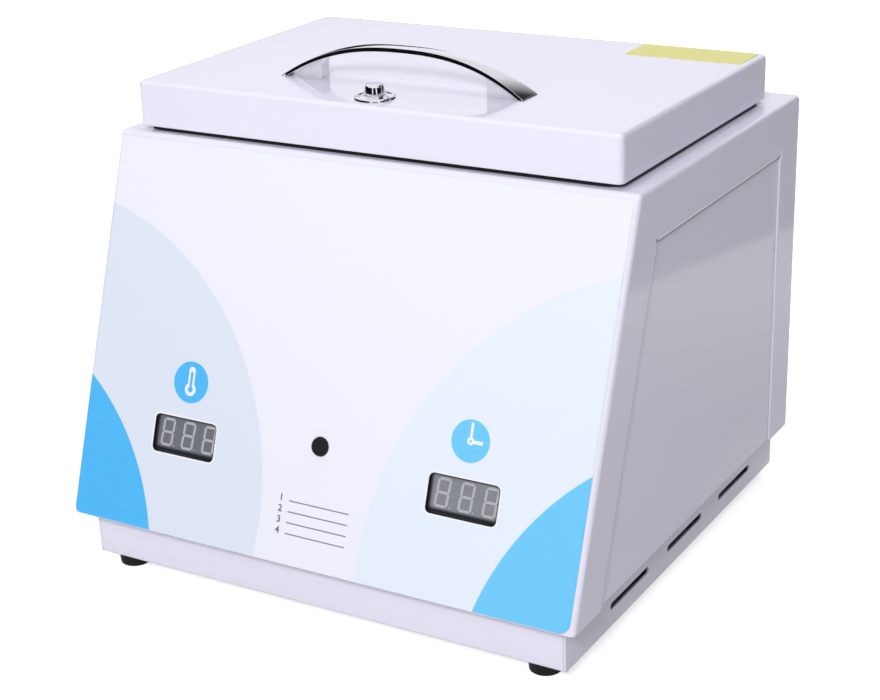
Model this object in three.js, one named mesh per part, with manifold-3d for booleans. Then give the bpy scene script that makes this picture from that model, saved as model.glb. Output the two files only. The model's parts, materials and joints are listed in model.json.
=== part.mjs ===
// Dry heat sterilizer for small instruments, in millimetres with +Z up.
// A bent sheet hood with a slanted front stands on a shallow base tray with four rubber feet.
// A heated steel pot hangs in the hood's top, under an insulated lid on two hinges.
// The front looks along -Y. The origin is on the floor, under the middle of the object's box.

import * as THREE from 'three';
import { mergeVertices } from 'three/addons/utils/BufferGeometryUtils.js';
import Module from 'manifold-3d';

const wasm = await Module();
wasm.setup();

// Sheet metal and the clearances that every fit uses.
const sheet = 1.2;
const thinSheet = 0.8;
const fit = 0.1;
const slackFit = 0.3;
const pinFit = 0.06;
const overrun = 6;

// Counts of faces round circles, arcs and bends, and two plain numbers.
const roundSteps = 24;
const fineSteps = 32;
const smallSteps = 12;
const cornerSteps = 5;
const bendSteps = 4;
const half = 0.5;
const quarterTurn = Math.PI / 2;

// Hood. Its front leans back from the bottom edge to the front top edge.
const footHeight = 6;
const trayShow = 25.2;
const hoodWidth = 290;
const hoodDepth = 269;
const hoodHeight = 187.6;
const frontTop = 68.1;
const bendRadius = 3.2;
const sideBend = 2.4;
const stripWidth = 26.7;
const reliefRadius = 1.3;
const panelLap = 8;
const panelRise = 0.8;
const hoodBottom = footHeight + trayShow;
const hoodTop = hoodBottom + hoodHeight;
const hoodUnder = hoodTop - sheet;
const hoodBackInside = hoodDepth - sheet;
const lean = Math.atan2(frontTop, hoodHeight);
const panelLength = Math.hypot(frontTop, hoodHeight);

// Base tray and its vent slots.
const traySideInset = 8.5;
const trayFront = 8.7;
const trayWallLap = 9;
const wingFrontInset = 37.3;
const wingBackInset = 21.7;
const wingHeight = 12;
const slotLength = 44.1;
const slotPitch = 67.2;
const slotHeight = 2.6;
const slotRise = 10.7;
const slotShift = 7.7;
const slotShares = [-1, 0, 1];
const trayWidth = hoodWidth - traySideInset - traySideInset;
const trayBack = hoodBackInside - fit;
const trayWallTop = hoodBottom + trayWallLap;
const trayFloorTop = footHeight + sheet;
const slotCentreY = (trayFront + trayBack) * half + slotShift;
const slotCentreZ = footHeight + slotRise;

// Rubber feet with a screw up through the tray.
const footSideInset = 15.1;
const footInset = 9.4;
const footRadius = 8.4;
const footTaper = 0.5;
const footRecessRadius = 4.6;
const footRecessDepth = 2.6;
const footScrewRadius = 2;
const footHeadRadius = 3.8;
const footHeadHeight = 1.6;
const weldNutRadius = 5;
const weldNutHeight = 4;

// Front panel, measured up the slope from the hood's bottom edge.
const panelMiddle = -0.8;
const labelThickness = 0.4;
const labelSideGap = 2.6;
const labelStart = 0.8;
const labelTopGap = 1;
const labelCorner = 5.5;
const windowInset = 64.8;
const windowHeightUp = 50.6;
const windowWidth = 37.3;
const windowHeight = 18.6;
const windowCorner = 2.3;
const windowRim = 0.6;
const windowRecess = 2;
const displayWidth = 50.3;
const displayHeight = 23;
const displayBack = 7.6;
const buttonUp = 60.7;
const buttonRadius = 4.6;
const buttonGap = 0.25;
const buttonStand = 0.9;
const buttonEdge = 0.4;
const buttonTravel = 0.8;
const buttonFlangeRadius = 6.2;
const buttonFlange = 0.9;
const buttonStemRadius = 1.8;
const switchSide = 6;
const switchHeight = 3.2;
const plungerRadius = 1.6;
const plungerHeight = 0.4;
const labelHalfWidth = hoodWidth * half - labelSideGap;
const windowSpread = hoodWidth * half - windowInset;

// Control board behind the front panel.
const boardThickness = 1.6;
const boardSideInset = 23;
const boardLow = 30;
const boardHeight = 54;
const spacerRadius = 3;
const spacerSideInset = 6;
const spacerInset = 4.5;
const boardHalfWidth = hoodWidth * half - boardSideInset;
const boardHigh = boardLow + boardHeight;
const spacerSpread = boardHalfWidth - spacerSideInset;

// Lid.
const lidSideInset = 10.4;
const lidFrontInset = 2.8;
const lidBackInset = 22.7;
const lidGap = 2.2;
const lidHeight = 23;
const lidEdge = 2.6;
const lidCorner = 3.4;
const linerThickness = 1;
const linerRise = 0.6;
const linerWall = 9;
const gasketInset = 1.8;
const gasketWidth = 6;
const lidWidth = hoodWidth - lidSideInset - lidSideInset;
const lidFront = frontTop + lidFrontInset;
const lidBack = hoodDepth - lidBackInset;
const lidDepth = lidBack - lidFront;
const lidCentreY = (lidFront + lidBack) * half;
const lidBottom = hoodTop + lidGap;
const lidTop = lidBottom + lidHeight;
const lidUnder = lidTop - sheet;
const linerBottom = lidBottom + linerRise;
const linerTop = linerBottom + linerThickness;

// Bow handle: a strip that arches between two wedge legs.
const fittingsX = -2.5;
const handleSetBack = 44.3;
const handleHalfLength = 68.6;
const handleRise = 18.8;
const handleStrip = 2;
const handleMidWidth = 8.2;
const handleEndWidth = 15.6;
const handleCurvePower = 2.49;
const handleWidthPower = 2;
const handleSteps = 40;
const legLength = 21.6;
const legDepth = 7;
const legReachShare = 0.97;
const handleScrewInset = 15.6;
const handleScrewRadius = 1.8;
const handleScrewDepth = 5;
const handleHeadRadius = 3.6;
const handleHeadHeight = 2.2;
const handleY = lidFront + handleSetBack;
const legInner = handleHalfLength - legLength;
const handleScrewX = handleHalfLength - handleScrewInset;
const lidWoolTop = lidUnder - handleHeadHeight - slackFit;

// Latch: a chromed button in a flange, with a stem down into a keeper in the hood's top.
const latchSetBack = 15.3;
const latchFlangeRadius = 10.1;
const latchFlangeEdge = 0.6;
const latchFlangeHeight = 1.5;
const latchButtonRadius = 5;
const latchButtonRise = 7;
const latchButtonEdge = 0.6;
const latchButtonGap = 0.2;
const latchSleeveRadius = 7;
const latchSleeveDrop = 4;
const latchShoulderRadius = 6.2;
const latchShoulder = 2;
const latchStemRadius = 2;
const latchStemDrop = 2.3;
const latchTravel = 3;
const keeperRadius = 3.6;
const keeperFlangeRadius = 5.4;
const keeperFlange = 0.7;
const keeperBoreRadius = 2.6;
const keeperFloorGap = 1.7;
const lidWellRadius = 8;
const latchY = lidFront + latchSetBack;
const keeperBottom = hoodTop - latchStemDrop - latchTravel - keeperFloorGap - thinSheet;

// Hinges behind the lid.
const hingeSideInset = 54.6;
const hingeLength = 36;
const hingeKnuckleRadius = 3.6;
const hingePinRadius = 1.6;
const hingeLeaf = 1.6;
const hingeLift = 0.5;
const hingeStandOff = 0.4;
const hingeMiddleShare = 0.34;
const hingeGap = 0.3;
const baseLeafReach = 13;
const lidLeafReach = 18;
const hingePinHead = 0.8;
const hingePinHeadRadius = 2.4;
const hingeSpread = lidWidth * half - hingeSideInset;
const hingeY = lidBack + hingeStandOff + hingeKnuckleRadius;
const hingeZ = hoodTop + hingeLift + hingeKnuckleRadius;

// Caution sticker on the lid.
const stickerWidth = 63.6;
const stickerDepth = 25.6;
const stickerSideGap = 3.6;
const stickerBackGap = 3;
const stickerThickness = 0.25;
const stickerCorner = 2;
const stickerX = (lidWidth - stickerWidth) * half - stickerSideGap;

// Heated chamber under the lid, and what surrounds it.
const chamberSideMargin = 30.6;
const chamberEndMargin = 27.7;
const chamberCorner = 14;
const chamberDrop = 98.8;
const chamberFlange = 6;
const bandThickness = 2;
const bandRise = 12;
const bandHeight = 56;
const wool = 18;
const jacketFlange = 6;
const probeRadius = 2;
const probeDrop = 13.8;
const probeReachIn = 6;
const probeReachOut = 9;
const probeCollarRadius = 5;
const probeCollar = 2;
const cutoutRadius = 9;
const cutoutHeight = 8;
const chamberWidth = lidWidth - chamberSideMargin - chamberSideMargin;
const chamberDepth = lidDepth - chamberEndMargin - chamberEndMargin;
const chamberFloor = hoodTop - chamberDrop;
const bandLow = chamberFloor + bandRise;
const bandHigh = bandLow + bandHeight;
const probeHeight = hoodTop - probeDrop;

// Power board on the tray floor.
const powerHalfWidth = 50;
const powerHalfDepth = 40;
const powerSideGap = 24.5;
const powerBackGap = 31.7;
const powerStandHeight = 6;
const powerStandRadius = 3;
const powerStandInset = 5;
const transformerWidth = 44;
const transformerDepth = 36;
const transformerHeight = 34;
const transformerInset = 6;
const transformerShift = 4;
const relayWidth = 19;
const relayDepth = 15.5;
const relayHeight = 15.8;
const relayInset = 12.5;
const relayShift = 16;
const powerX = powerHalfWidth + powerSideGap - trayWidth * half;
const powerY = trayBack - powerBackGap - powerHalfDepth;
const transformerX = powerX - powerHalfWidth + transformerInset + transformerWidth * half;
const transformerY = powerY + transformerShift;
const relayX = powerX + powerHalfWidth - relayInset - relayWidth * half;
const relayY = powerY + relayShift;

// Mains inlet, power switch and fuse holder in the hood's back.
const fittingsRise = 44.8;
const inletX = -72;
const inletFlangeWidth = 50;
const inletFlangeHeight = 24;
const inletFlange = 2.4;
const inletBodyWidth = 27;
const inletBodyHeight = 20;
const inletBodyDepth = 19;
const socketWidth = 24.4;
const socketHeight = 16.3;
const socketDepth = 15.5;
const socketChamfer = 4;
const pinWidth = 2;
const pinHeight = 4;
const pinLength = 13;
const pinSpread = 7;
const livePinRise = -1.2;
const earthPinRise = 2.8;
const inletScrewSpread = 20;
const smallScrewRadius = 1.5;
const smallHeadRadius = 2.8;
const smallHeadHeight = 1.5;
const smallScrewLength = 6;
const switchX = -22;
const switchFrameWidth = 15;
const switchFrameHeight = 21;
const switchFrame = 1.8;
const switchBodyWidth = 13;
const switchBodyHeight = 19;
const switchBodyDepth = 15;
const rockerWidth = 9.6;
const rockerLength = 14.4;
const rockerRise = 2.2;
const rockerTip = 4.4;
const rockerDepth = 4.6;
const rockerWell = 9;
const rockerAngle = 10;
const rockerSlack = 0.9;
const rockerAxleRadius = 1.5;
const fuseX = 14;
const fuseCapRadius = 7;
const fuseCapHeight = 3.4;
const fuseBodyRadius = 5.5;
const fuseBodyDepth = 24;
const hoodScrewInset = 24.5;
const hoodScrewRise = 4.8;
const fittingsZ = hoodBottom + fittingsRise;
const hoodScrewSpread = trayWidth * half - hoodScrewInset;
const hoodScrewZ = hoodBottom + hoodScrewRise;

// Solids: a closed geometry becomes a solid that can be joined and cut.
function toSolid(geometry) {
  const bare = geometry.clone();
  bare.deleteAttribute('normal');
  bare.deleteAttribute('uv');
  const merged = mergeVertices(bare);
  return new wasm.Manifold(new wasm.Mesh({
    numProp: 3,
    vertProperties: merged.attributes.position.array,
    triVerts: new Uint32Array(merged.index.array),
  }));
}

function toGeometry(solid) {
  const mesh = solid.getMesh();
  const geometry = new THREE.BufferGeometry();
  geometry.setAttribute('position', new THREE.BufferAttribute(new Float32Array(mesh.vertProperties), 3));
  geometry.setIndex(new THREE.BufferAttribute(new Uint32Array(mesh.triVerts), 1));
  return geometry;
}

function joined(first, ...others) {
  return others.reduce((solid, other) => solid.add(other), first);
}

function cut(first, ...others) {
  return others.reduce((solid, other) => solid.subtract(other), first);
}

// Outlines as lists of points.
function rectangle(width, height, x = 0, y = 0) {
  const w = width * half;
  const h = height * half;
  return [[x - w, y - h], [x + w, y - h], [x + w, y + h], [x - w, y + h]];
}

function roundedRectangle(width, height, radius, x = 0, y = 0) {
  const w = width * half - radius;
  const h = height * half - radius;
  const centres = [[w, h], [-w, h], [-w, -h], [w, -h]];
  const points = [];
  centres.forEach(([cx, cy], corner) => {
    for (let step = 0; step <= cornerSteps; step += 1) {
      const angle = (corner + step / cornerSteps) * quarterTurn;
      points.push([x + cx + radius * Math.cos(angle), y + cy + radius * Math.sin(angle)]);
    }
  });
  return points;
}

function circle(radius, x = 0, y = 0, steps = roundSteps) {
  const points = [];
  for (let step = 0; step < steps; step += 1) {
    const angle = (step / steps) * 4 * quarterTurn;
    points.push([x + radius * Math.cos(angle), y + radius * Math.sin(angle)]);
  }
  return points;
}

// Replaces each listed corner of an outline by a small arc that touches both edges.
function withRoundCorners(points, corners, radius) {
  const result = [];
  points.forEach((point, index) => {
    if (!corners.includes(index)) {
      result.push(point);
      return;
    }
    const corner = new THREE.Vector2(...point);
    const last = points[(index + points.length - 1) % points.length];
    const next = points[(index + 1) % points.length];
    const before = new THREE.Vector2(...last).sub(corner).normalize();
    const after = new THREE.Vector2(...next).sub(corner).normalize();
    const halfAngle = Math.acos(before.dot(after)) * half;
    const middle = before.clone().add(after).normalize();
    const centre = middle.multiplyScalar(radius / Math.sin(halfAngle)).add(corner);
    const start = before.multiplyScalar(radius / Math.tan(halfAngle)).add(corner).sub(centre);
    const end = after.multiplyScalar(radius / Math.tan(halfAngle)).add(corner).sub(centre);
    const from = Math.atan2(start.y, start.x);
    const sweep = Math.atan2(start.cross(end), start.dot(end));
    for (let step = 0; step <= cornerSteps; step += 1) {
      const angle = from + sweep * (step / cornerSteps);
      result.push([centre.x + radius * Math.cos(angle), centre.y + radius * Math.sin(angle)]);
    }
  });
  return result;
}

// Moves each edge of a convex outline, listed counter-clockwise, inwards by a distance.
function inset(points, distances) {
  const lines = points.map((point, index) => {
    const start = new THREE.Vector2(...point);
    const end = new THREE.Vector2(...points[(index + 1) % points.length]);
    const along = end.clone().sub(start).normalize();
    const inward = new THREE.Vector2(-along.y, along.x);
    const distance = Array.isArray(distances) ? distances[index] : distances;
    return { start: start.add(inward.multiplyScalar(distance)), along };
  });
  return lines.map((line, index) => {
    const other = lines[(index + lines.length - 1) % lines.length];
    const gap = other.start.clone().sub(line.start);
    const travel = gap.cross(other.along) / line.along.cross(other.along);
    return [line.start.x + line.along.x * travel, line.start.y + line.along.y * travel];
  });
}

function extruded(points, depth, bevel = 0) {
  const shape = new THREE.Shape(points.map(([x, y]) => new THREE.Vector2(x, y)));
  return new THREE.ExtrudeGeometry(shape, {
    depth,
    bevelEnabled: bevel > 0,
    bevelThickness: bevel,
    bevelSize: bevel,
    bevelSegments: bendSteps,
  });
}

// Prisms of an outline in XY, in YZ and in XZ between two limits along the third axis.
function prismZ(points, low, high, bevel = 0) {
  return toSolid(extruded(points, high - low - bevel - bevel, bevel).translate(0, 0, low + bevel));
}

function prismX(points, low, high, bevel = 0) {
  const turn = new THREE.Matrix4().set(0, 0, 1, 0, 1, 0, 0, 0, 0, 1, 0, 0, 0, 0, 0, 1);
  const geometry = extruded(points, high - low - bevel - bevel, bevel).translate(0, 0, low + bevel);
  return toSolid(geometry.applyMatrix4(turn));
}

function prismY(points, low, high) {
  return toSolid(extruded(points, high - low).rotateX(quarterTurn).translate(0, high, 0));
}

function block(x0, x1, y0, y1, z0, z1) {
  const middle = [(x0 + x1) * half, (y0 + y1) * half, (z0 + z1) * half];
  return toSolid(new THREE.BoxGeometry(x1 - x0, y1 - y0, z1 - z0).translate(...middle));
}

function rodZ(radius, low, high, x = 0, y = 0, steps = roundSteps) {
  return prismZ(circle(radius, x, y, steps), low, high);
}

function rodY(radius, low, high, x, z, steps = roundSteps) {
  return prismY(circle(radius, x, z, steps), low, high);
}

function rodX(radius, low, high, y, z, steps = roundSteps) {
  return prismX(circle(radius, y, z, steps), low, high);
}

// A turned solid about the Z axis from its outline of radius and height.
function turned(outline, x = 0, y = 0, steps = fineSteps) {
  const points = outline.map(([radius, height]) => new THREE.Vector2(radius, height));
  return toSolid(new THREE.LatheGeometry(points, steps).rotateX(quarterTurn).translate(x, y, 0));
}

// Places a solid made in the front panel's own frame: X across, Y up the slope, Z out of the panel.
const panelTurn = new THREE.Matrix4().makeRotationX(quarterTurn - lean).setPosition(0, 0, hoodBottom);

function onPanel(points, low, high) {
  return toSolid(extruded(points, high - low).translate(0, 0, low).applyMatrix4(panelTurn));
}

// Materials, each with the colour and finish that shows in the photograph.
function paint(color, roughness, metalness = 0) {
  return new THREE.MeshStandardMaterial({ color, roughness, metalness });
}

const whitePaint = () => paint(0xeeebf8, 0.25);
const labelFilm = () => paint(0xe3e9f4, 0.4);
const displayPlastic = () => paint(0x25262b, 0.35);
const blackPlastic = () => paint(0x151517, 0.45);
const rubber = () => paint(0x1a1a1c, 0.8);
const chrome = () => paint(0xd8dade, 0.08, 1);
const steel = () => paint(0xb9bcc2, 0.35, 1);
const zinc = () => paint(0xa7abb2, 0.4, 1);
const silicone = () => paint(0x17171a, 0.65);
const glassWool = () => paint(0xd9cfa0, 0.95);
const greenBoard = () => paint(0x1e6b3c, 0.5);
const heaterMat = () => paint(0xb5562f, 0.7);
const yellowFilm = () => paint(0xe8e496, 0.4);
const brass = () => paint(0xc9a45a, 0.3, 1);
const nylon = () => paint(0xe8e6df, 0.5);
const coilTape = () => paint(0xc8a032, 0.6);
const relayBlue = () => paint(0x2a5ea8, 0.4);

const body = new THREE.Group();
const panel = new THREE.Group();
panel.rotation.x = quarterTurn - lean;
panel.position.z = hoodBottom;
const lid = new THREE.Group();

function place(parent, name, material, solid) {
  const mesh = new THREE.Mesh(toGeometry(solid), material);
  mesh.name = name;
  parent.add(mesh);
  return mesh;
}

// The hood's side outline, counter-clockwise from the bottom front, as Y and Z.
const hoodOutline = [
  [0, hoodBottom],
  [hoodDepth, hoodBottom],
  [hoodDepth, hoodTop],
  [frontTop, hoodTop],
];

// A closed block with the hood's outer faces moved inwards by a skin and its bends rounded.
// It runs on below the hood's bottom edge, where the slanted front turns upright.
function hoodBlock(skin) {
  const low = hoodBottom - overrun;
  const start = -overrun * Math.tan(lean);
  const outline = [
    [start, low - overrun],
    [hoodDepth, low - overrun],
    [hoodDepth, hoodTop],
    [frontTop, hoodTop],
    [start, low],
  ];
  const core = inset(outline, sideBend);
  const bent = withRoundCorners(core, [2, 3], bendRadius - sideBend);
  const side = hoodWidth * half - skin;
  return prismX(bent, -side, side, sideBend - skin);
}

// The opening in each side of the hood, which leaves a strip along the front, top and back.
function sideOpening(grow) {
  return inset(hoodOutline, [-overrun, stripWidth - grow, stripWidth - grow, stripWidth - grow]);
}

function chamberOutline(grow) {
  return roundedRectangle(
    chamberWidth + grow + grow,
    chamberDepth + grow + grow,
    chamberCorner + grow,
    0,
    lidCentreY,
  );
}

function windowOutline(side, grow) {
  return roundedRectangle(
    windowWidth + grow + grow,
    windowHeight + grow + grow,
    windowCorner + grow,
    panelMiddle + side * windowSpread,
    windowHeightUp,
  );
}

function addBaseTray() {
  const wall = trayWidth * half;
  const outside = block(-wall, wall, trayFront, trayBack, footHeight, trayWallTop);
  const inside = block(
    sheet - wall,
    wall - sheet,
    trayFront + sheet,
    trayBack - sheet,
    trayFloorTop,
    trayWallTop + overrun,
  );
  let tray = cut(outside, inside);
  const reach = hoodWidth * half - sheet - sheet - fit - fit;
  const ledge = trayWallTop - sheet;
  const wingFront = trayFront + wingFrontInset;
  const wingBack = trayBack - wingBackInset;
  const wing = [
    [wall - sheet, ledge],
    [reach, ledge],
    [reach, ledge + wingHeight],
    [reach - sheet, ledge + wingHeight],
    [reach - sheet, trayWallTop],
    [wall - sheet, trayWallTop],
  ];
  const mirrored = wing.map(([x, z]) => [-x, z]).reverse();
  tray = joined(tray, prismY(wing, wingFront, wingBack), prismY(mirrored, wingFront, wingBack));
  const slot = roundedRectangle(slotLength, slotHeight, slotHeight * half);
  slotShares.forEach((share) => {
    const y = slotCentreY + share * slotPitch;
    const outline = slot.map(([u, v]) => [y + u, slotCentreZ + v]);
    tray = cut(tray, prismX(outline, -wall - overrun, wall + overrun));
  });
  const rooted = footHeight + fit;
  const nutTop = trayFloorTop + weldNutHeight;
  footPlaces().forEach(([x, y]) => {
    tray = joined(tray, rodZ(weldNutRadius, rooted, nutTop, x, y));
    tray = cut(tray, rodZ(footScrewRadius + fit, 0, nutTop + overrun, x, y, smallSteps));
  });
  const standTop = trayFloorTop + powerStandHeight;
  powerStands().forEach(([x, y]) => {
    tray = joined(tray, rodZ(powerStandRadius, rooted, standTop, x, y, smallSteps));
  });
  hoodScrewPlaces().forEach((x) => {
    tray = cut(tray, backHole(x, hoodScrewZ));
  });
  place(body, 'base_tray', whitePaint(), tray);
}

// A clearance hole for a small screw through the hood's back and the tray's back wall.
function backHole(x, z) {
  return rodY(smallScrewRadius + fit, trayBack - overrun, hoodDepth + overrun, x, z, smallSteps);
}

function footPlaces() {
  const side = trayWidth * half - footSideInset;
  const front = trayFront + footInset;
  const back = trayBack - footInset;
  return [[-side, front], [side, front], [side, back], [-side, back]];
}

function powerStands() {
  const dx = powerHalfWidth - powerStandInset;
  const dy = powerHalfDepth - powerStandInset;
  return [[-dx, -dy], [dx, -dy], [dx, dy], [-dx, dy]].map(([x, y]) => [powerX + x, powerY + y]);
}

function hoodScrewPlaces() {
  return [-hoodScrewSpread, hoodScrewSpread];
}

function addHood() {
  const side = hoodWidth * half;
  let hood = cut(hoodBlock(0), hoodBlock(sheet));
  hood = cut(hood, block(-side, side, -hoodDepth, hoodDepth, hoodBottom - hoodDepth, hoodBottom));
  const opening = sideOpening(0);
  [-side - overrun, side - sheet - fit].forEach((low) => {
    const high = low + overrun + sheet + fit;
    hood = cut(hood, prismX(opening, low, high));
    [opening[2], opening[3]].forEach(([y, z]) => {
      hood = cut(hood, rodX(reliefRadius, low, high, y, z, smallSteps));
    });
  });
  hood = cut(hood, prismZ(chamberOutline(fit), hoodUnder - overrun, hoodTop + overrun));
  hood = cut(hood, rodZ(keeperRadius + fit, hoodUnder - overrun, hoodTop + overrun, fittingsX, latchY));
  const button = circle(buttonRadius + buttonGap, panelMiddle, buttonUp);
  hood = cut(hood, onPanel(button, -overrun, overrun));
  [-1, 1].forEach((end) => {
    hood = cut(hood, onPanel(windowOutline(end, windowRim + slackFit), -overrun, overrun));
  });
  const back = hoodBackInside - overrun;
  const outside = hoodDepth + overrun;
  const inletHole = rectangle(inletBodyWidth + fit + fit, inletBodyHeight + fit + fit, inletX, fittingsZ);
  const switchHole = rectangle(switchBodyWidth + fit + fit, switchBodyHeight + fit + fit, switchX, fittingsZ);
  hood = cut(hood, prismY(inletHole, back, outside), prismY(switchHole, back, outside));
  hood = cut(hood, rodY(fuseBodyRadius + fit, back, outside, fuseX, fittingsZ));
  [-1, 1].forEach((end) => {
    hood = cut(hood, backHole(inletX + end * inletScrewSpread, fittingsZ));
  });
  hoodScrewPlaces().forEach((x) => {
    hood = cut(hood, backHole(x, hoodScrewZ));
  });
  place(body, 'hood_shell', whitePaint(), hood);
}

function addSidePanels() {
  const outline = sideOpening(panelLap);
  const bottom = block(
    -hoodWidth,
    hoodWidth,
    -hoodDepth,
    hoodDepth,
    hoodBottom - hoodDepth,
    hoodBottom + panelRise,
  );
  const outer = hoodWidth * half - sheet - fit;
  const right = cut(prismX(outline, outer - sheet, outer), bottom);
  const left = cut(prismX(outline, -outer, sheet - outer), bottom);
  place(body, 'side_panel_right', whitePaint(), right);
  place(body, 'side_panel_left', whitePaint(), left);
}

// Label: a film on the slanted front with holes for the windows and the button.
function addLabel() {
  const end = panelLength - labelTopGap;
  const middle = (labelStart + end) * half;
  const outline = roundedRectangle(labelHalfWidth + labelHalfWidth, end - labelStart, labelCorner, 0, middle);
  let film = prismZ(outline, fit, labelThickness);
  [-1, 1].forEach((side) => {
    film = cut(film, prismZ(windowOutline(side, windowRim + fit), -overrun, overrun));
  });
  film = cut(film, rodZ(buttonRadius + buttonGap, -overrun, overrun, panelMiddle, buttonUp));
  place(panel, 'front_label', labelFilm(), film);
}

// Display module: a wide back behind the sheet, and a rim that lines the window round a set back face.
function addDisplay(name, side) {
  const x = panelMiddle + side * windowSpread;
  const back = rectangle(displayWidth, displayHeight, x, windowHeightUp);
  const front = windowOutline(side, windowRim);
  const face = labelThickness - windowRecess;
  const module = joined(
    prismZ(back, fit - displayBack, -sheet - slackFit),
    prismZ(front, fit - displayBack, labelThickness),
  );
  const well = prismZ(windowOutline(side, 0), face, labelThickness + overrun);
  place(panel, name, displayPlastic(), cut(module, well));
}

function addControlBoard() {
  const outline = [
    [-boardHalfWidth, boardLow],
    [boardHalfWidth, boardLow],
    [boardHalfWidth, boardHigh],
    [-boardHalfWidth, boardHigh],
  ];
  place(panel, 'control_board', greenBoard(), prismZ(outline, -displayBack - boardThickness, -displayBack));
  const low = boardLow + spacerInset;
  const high = boardHigh - spacerInset;
  const spots = [[-spacerSpread, low], [spacerSpread, low], [spacerSpread, high], [-spacerSpread, high]];
  spots.forEach(([x, up], index) => {
    const spacer = rodZ(spacerRadius, -displayBack + fit, -sheet - fit, x, up, smallSteps);
    place(panel, `board_spacer_${index + 1}`, brass(), spacer);
  });
}

// Program button: a black cap with a flange behind the sheet, over a small push switch.
function addProgramButton() {
  const top = labelThickness + buttonStand;
  const flangeTop = -sheet - slackFit;
  const flangeBottom = flangeTop - buttonFlange;
  const switchTop = switchHeight + plungerHeight - displayBack;
  const stemBottom = switchTop + buttonTravel + fit + fit;
  const cap = turned([
    [0, stemBottom],
    [buttonStemRadius, stemBottom],
    [buttonStemRadius, flangeBottom],
    [buttonFlangeRadius, flangeBottom],
    [buttonFlangeRadius, flangeTop],
    [buttonRadius, flangeTop],
    [buttonRadius, top - buttonEdge],
    [buttonRadius - buttonEdge, top],
    [0, top],
  ], panelMiddle, buttonUp);
  place(panel, 'program_button', blackPlastic(), cap);
  const base = rectangle(switchSide, switchSide, panelMiddle, buttonUp);
  const housing = prismZ(base, -displayBack + fit, switchHeight - displayBack);
  const plunger = rodZ(plungerRadius, -displayBack + fit, switchTop, panelMiddle, buttonUp, smallSteps);
  place(panel, 'program_switch', steel(), joined(housing, plunger));
}

function addFeet() {
  footPlaces().forEach(([x, y], index) => {
    const foot = turned([
      [footScrewRadius + fit, footRecessDepth],
      [footRecessRadius, footRecessDepth],
      [footRecessRadius, 0],
      [footRadius - footTaper, 0],
      [footRadius, footTaper],
      [footRadius, footHeight],
      [footScrewRadius + fit, footHeight],
      [footScrewRadius + fit, footRecessDepth],
    ], x, y, roundSteps);
    place(body, `foot_${index + 1}`, rubber(), foot);
    const headBottom = footRecessDepth - footHeadHeight - fit;
    const shankTop = trayFloorTop + weldNutHeight;
    const head = rodZ(footHeadRadius, headBottom, footRecessDepth - fit, x, y);
    const shank = rodZ(footScrewRadius, headBottom, shankTop, x, y, smallSteps);
    const driveSlot = rectangle(footHeadRadius + footHeadRadius - sheet, thinSheet, x, y);
    const screw = cut(joined(head, shank), prismZ(driveSlot, -overrun, headBottom + thinSheet));
    place(body, `foot_screw_${index + 1}`, zinc(), screw);
  });
}

// Chamber: a deep drawn pot with a flange that rests on the hood's top.
function addChamber() {
  const flangeTop = hoodTop + thinSheet;
  const pot = joined(
    prismZ(chamberOutline(0), chamberFloor, flangeTop),
    prismZ(chamberOutline(chamberFlange), hoodTop, flangeTop),
  );
  const hollow = prismZ(chamberOutline(-thinSheet), chamberFloor + thinSheet, flangeTop + overrun);
  const back = lidCentreY + chamberDepth * half;
  const hole = rodY(probeRadius + fit, back - overrun, back + overrun, 0, probeHeight, smallSteps);
  place(body, 'chamber', steel(), cut(pot, hollow, hole));
  const band = cut(
    prismZ(chamberOutline(fit + bandThickness), bandLow, bandHigh),
    prismZ(chamberOutline(fit), bandLow - overrun, bandHigh + overrun),
  );
  place(body, 'heater_band', heaterMat(), band);
}

function addInsulation() {
  const pocket = fit + bandThickness + fit;
  const back = lidCentreY + chamberDepth * half;
  const top = hoodUnder - fit;
  const jacketTop = hoodUnder;
  const low = chamberFloor - wool;
  const hole = rodY(probeRadius + fit, back - overrun, hoodDepth, 0, probeHeight, smallSteps);
  const cutoutFloor = chamberFloor - cutoutHeight - slackFit;
  const cutoutWell = rodZ(cutoutRadius + slackFit, cutoutFloor, chamberFloor, 0, lidCentreY);
  const keeperWell = rodZ(keeperRadius + slackFit, keeperBottom - slackFit, hoodTop, fittingsX, latchY);
  const wrap = cut(
    prismZ(chamberOutline(wool), low, top),
    prismZ(chamberOutline(pocket), chamberFloor - fit, hoodTop),
    hole,
    cutoutWell,
    keeperWell,
  );
  place(body, 'chamber_insulation', glassWool(), wrap);
  const skin = wool + fit;
  const shell = joined(
    prismZ(chamberOutline(skin + thinSheet), low - fit - thinSheet, jacketTop),
    prismZ(chamberOutline(skin + thinSheet + jacketFlange), jacketTop - thinSheet, jacketTop),
  );
  const inside = prismZ(chamberOutline(skin), low - fit, hoodTop);
  place(body, 'insulation_jacket', zinc(), cut(shell, inside, hole));
  const collarStart = back + wool + fit + thinSheet + fit;
  const tip = back - thinSheet - probeReachIn;
  const probe = joined(
    rodY(probeRadius, tip, collarStart + probeReachOut, 0, probeHeight, smallSteps),
    rodY(probeCollarRadius, collarStart, collarStart + probeCollar, 0, probeHeight),
  );
  place(body, 'temperature_probe', steel(), probe);
  const cutoutTop = chamberFloor - fit;
  const cutout = rodZ(cutoutRadius, cutoutTop - cutoutHeight, cutoutTop, 0, lidCentreY);
  place(body, 'thermal_cutout', zinc(), cutout);
}

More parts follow.
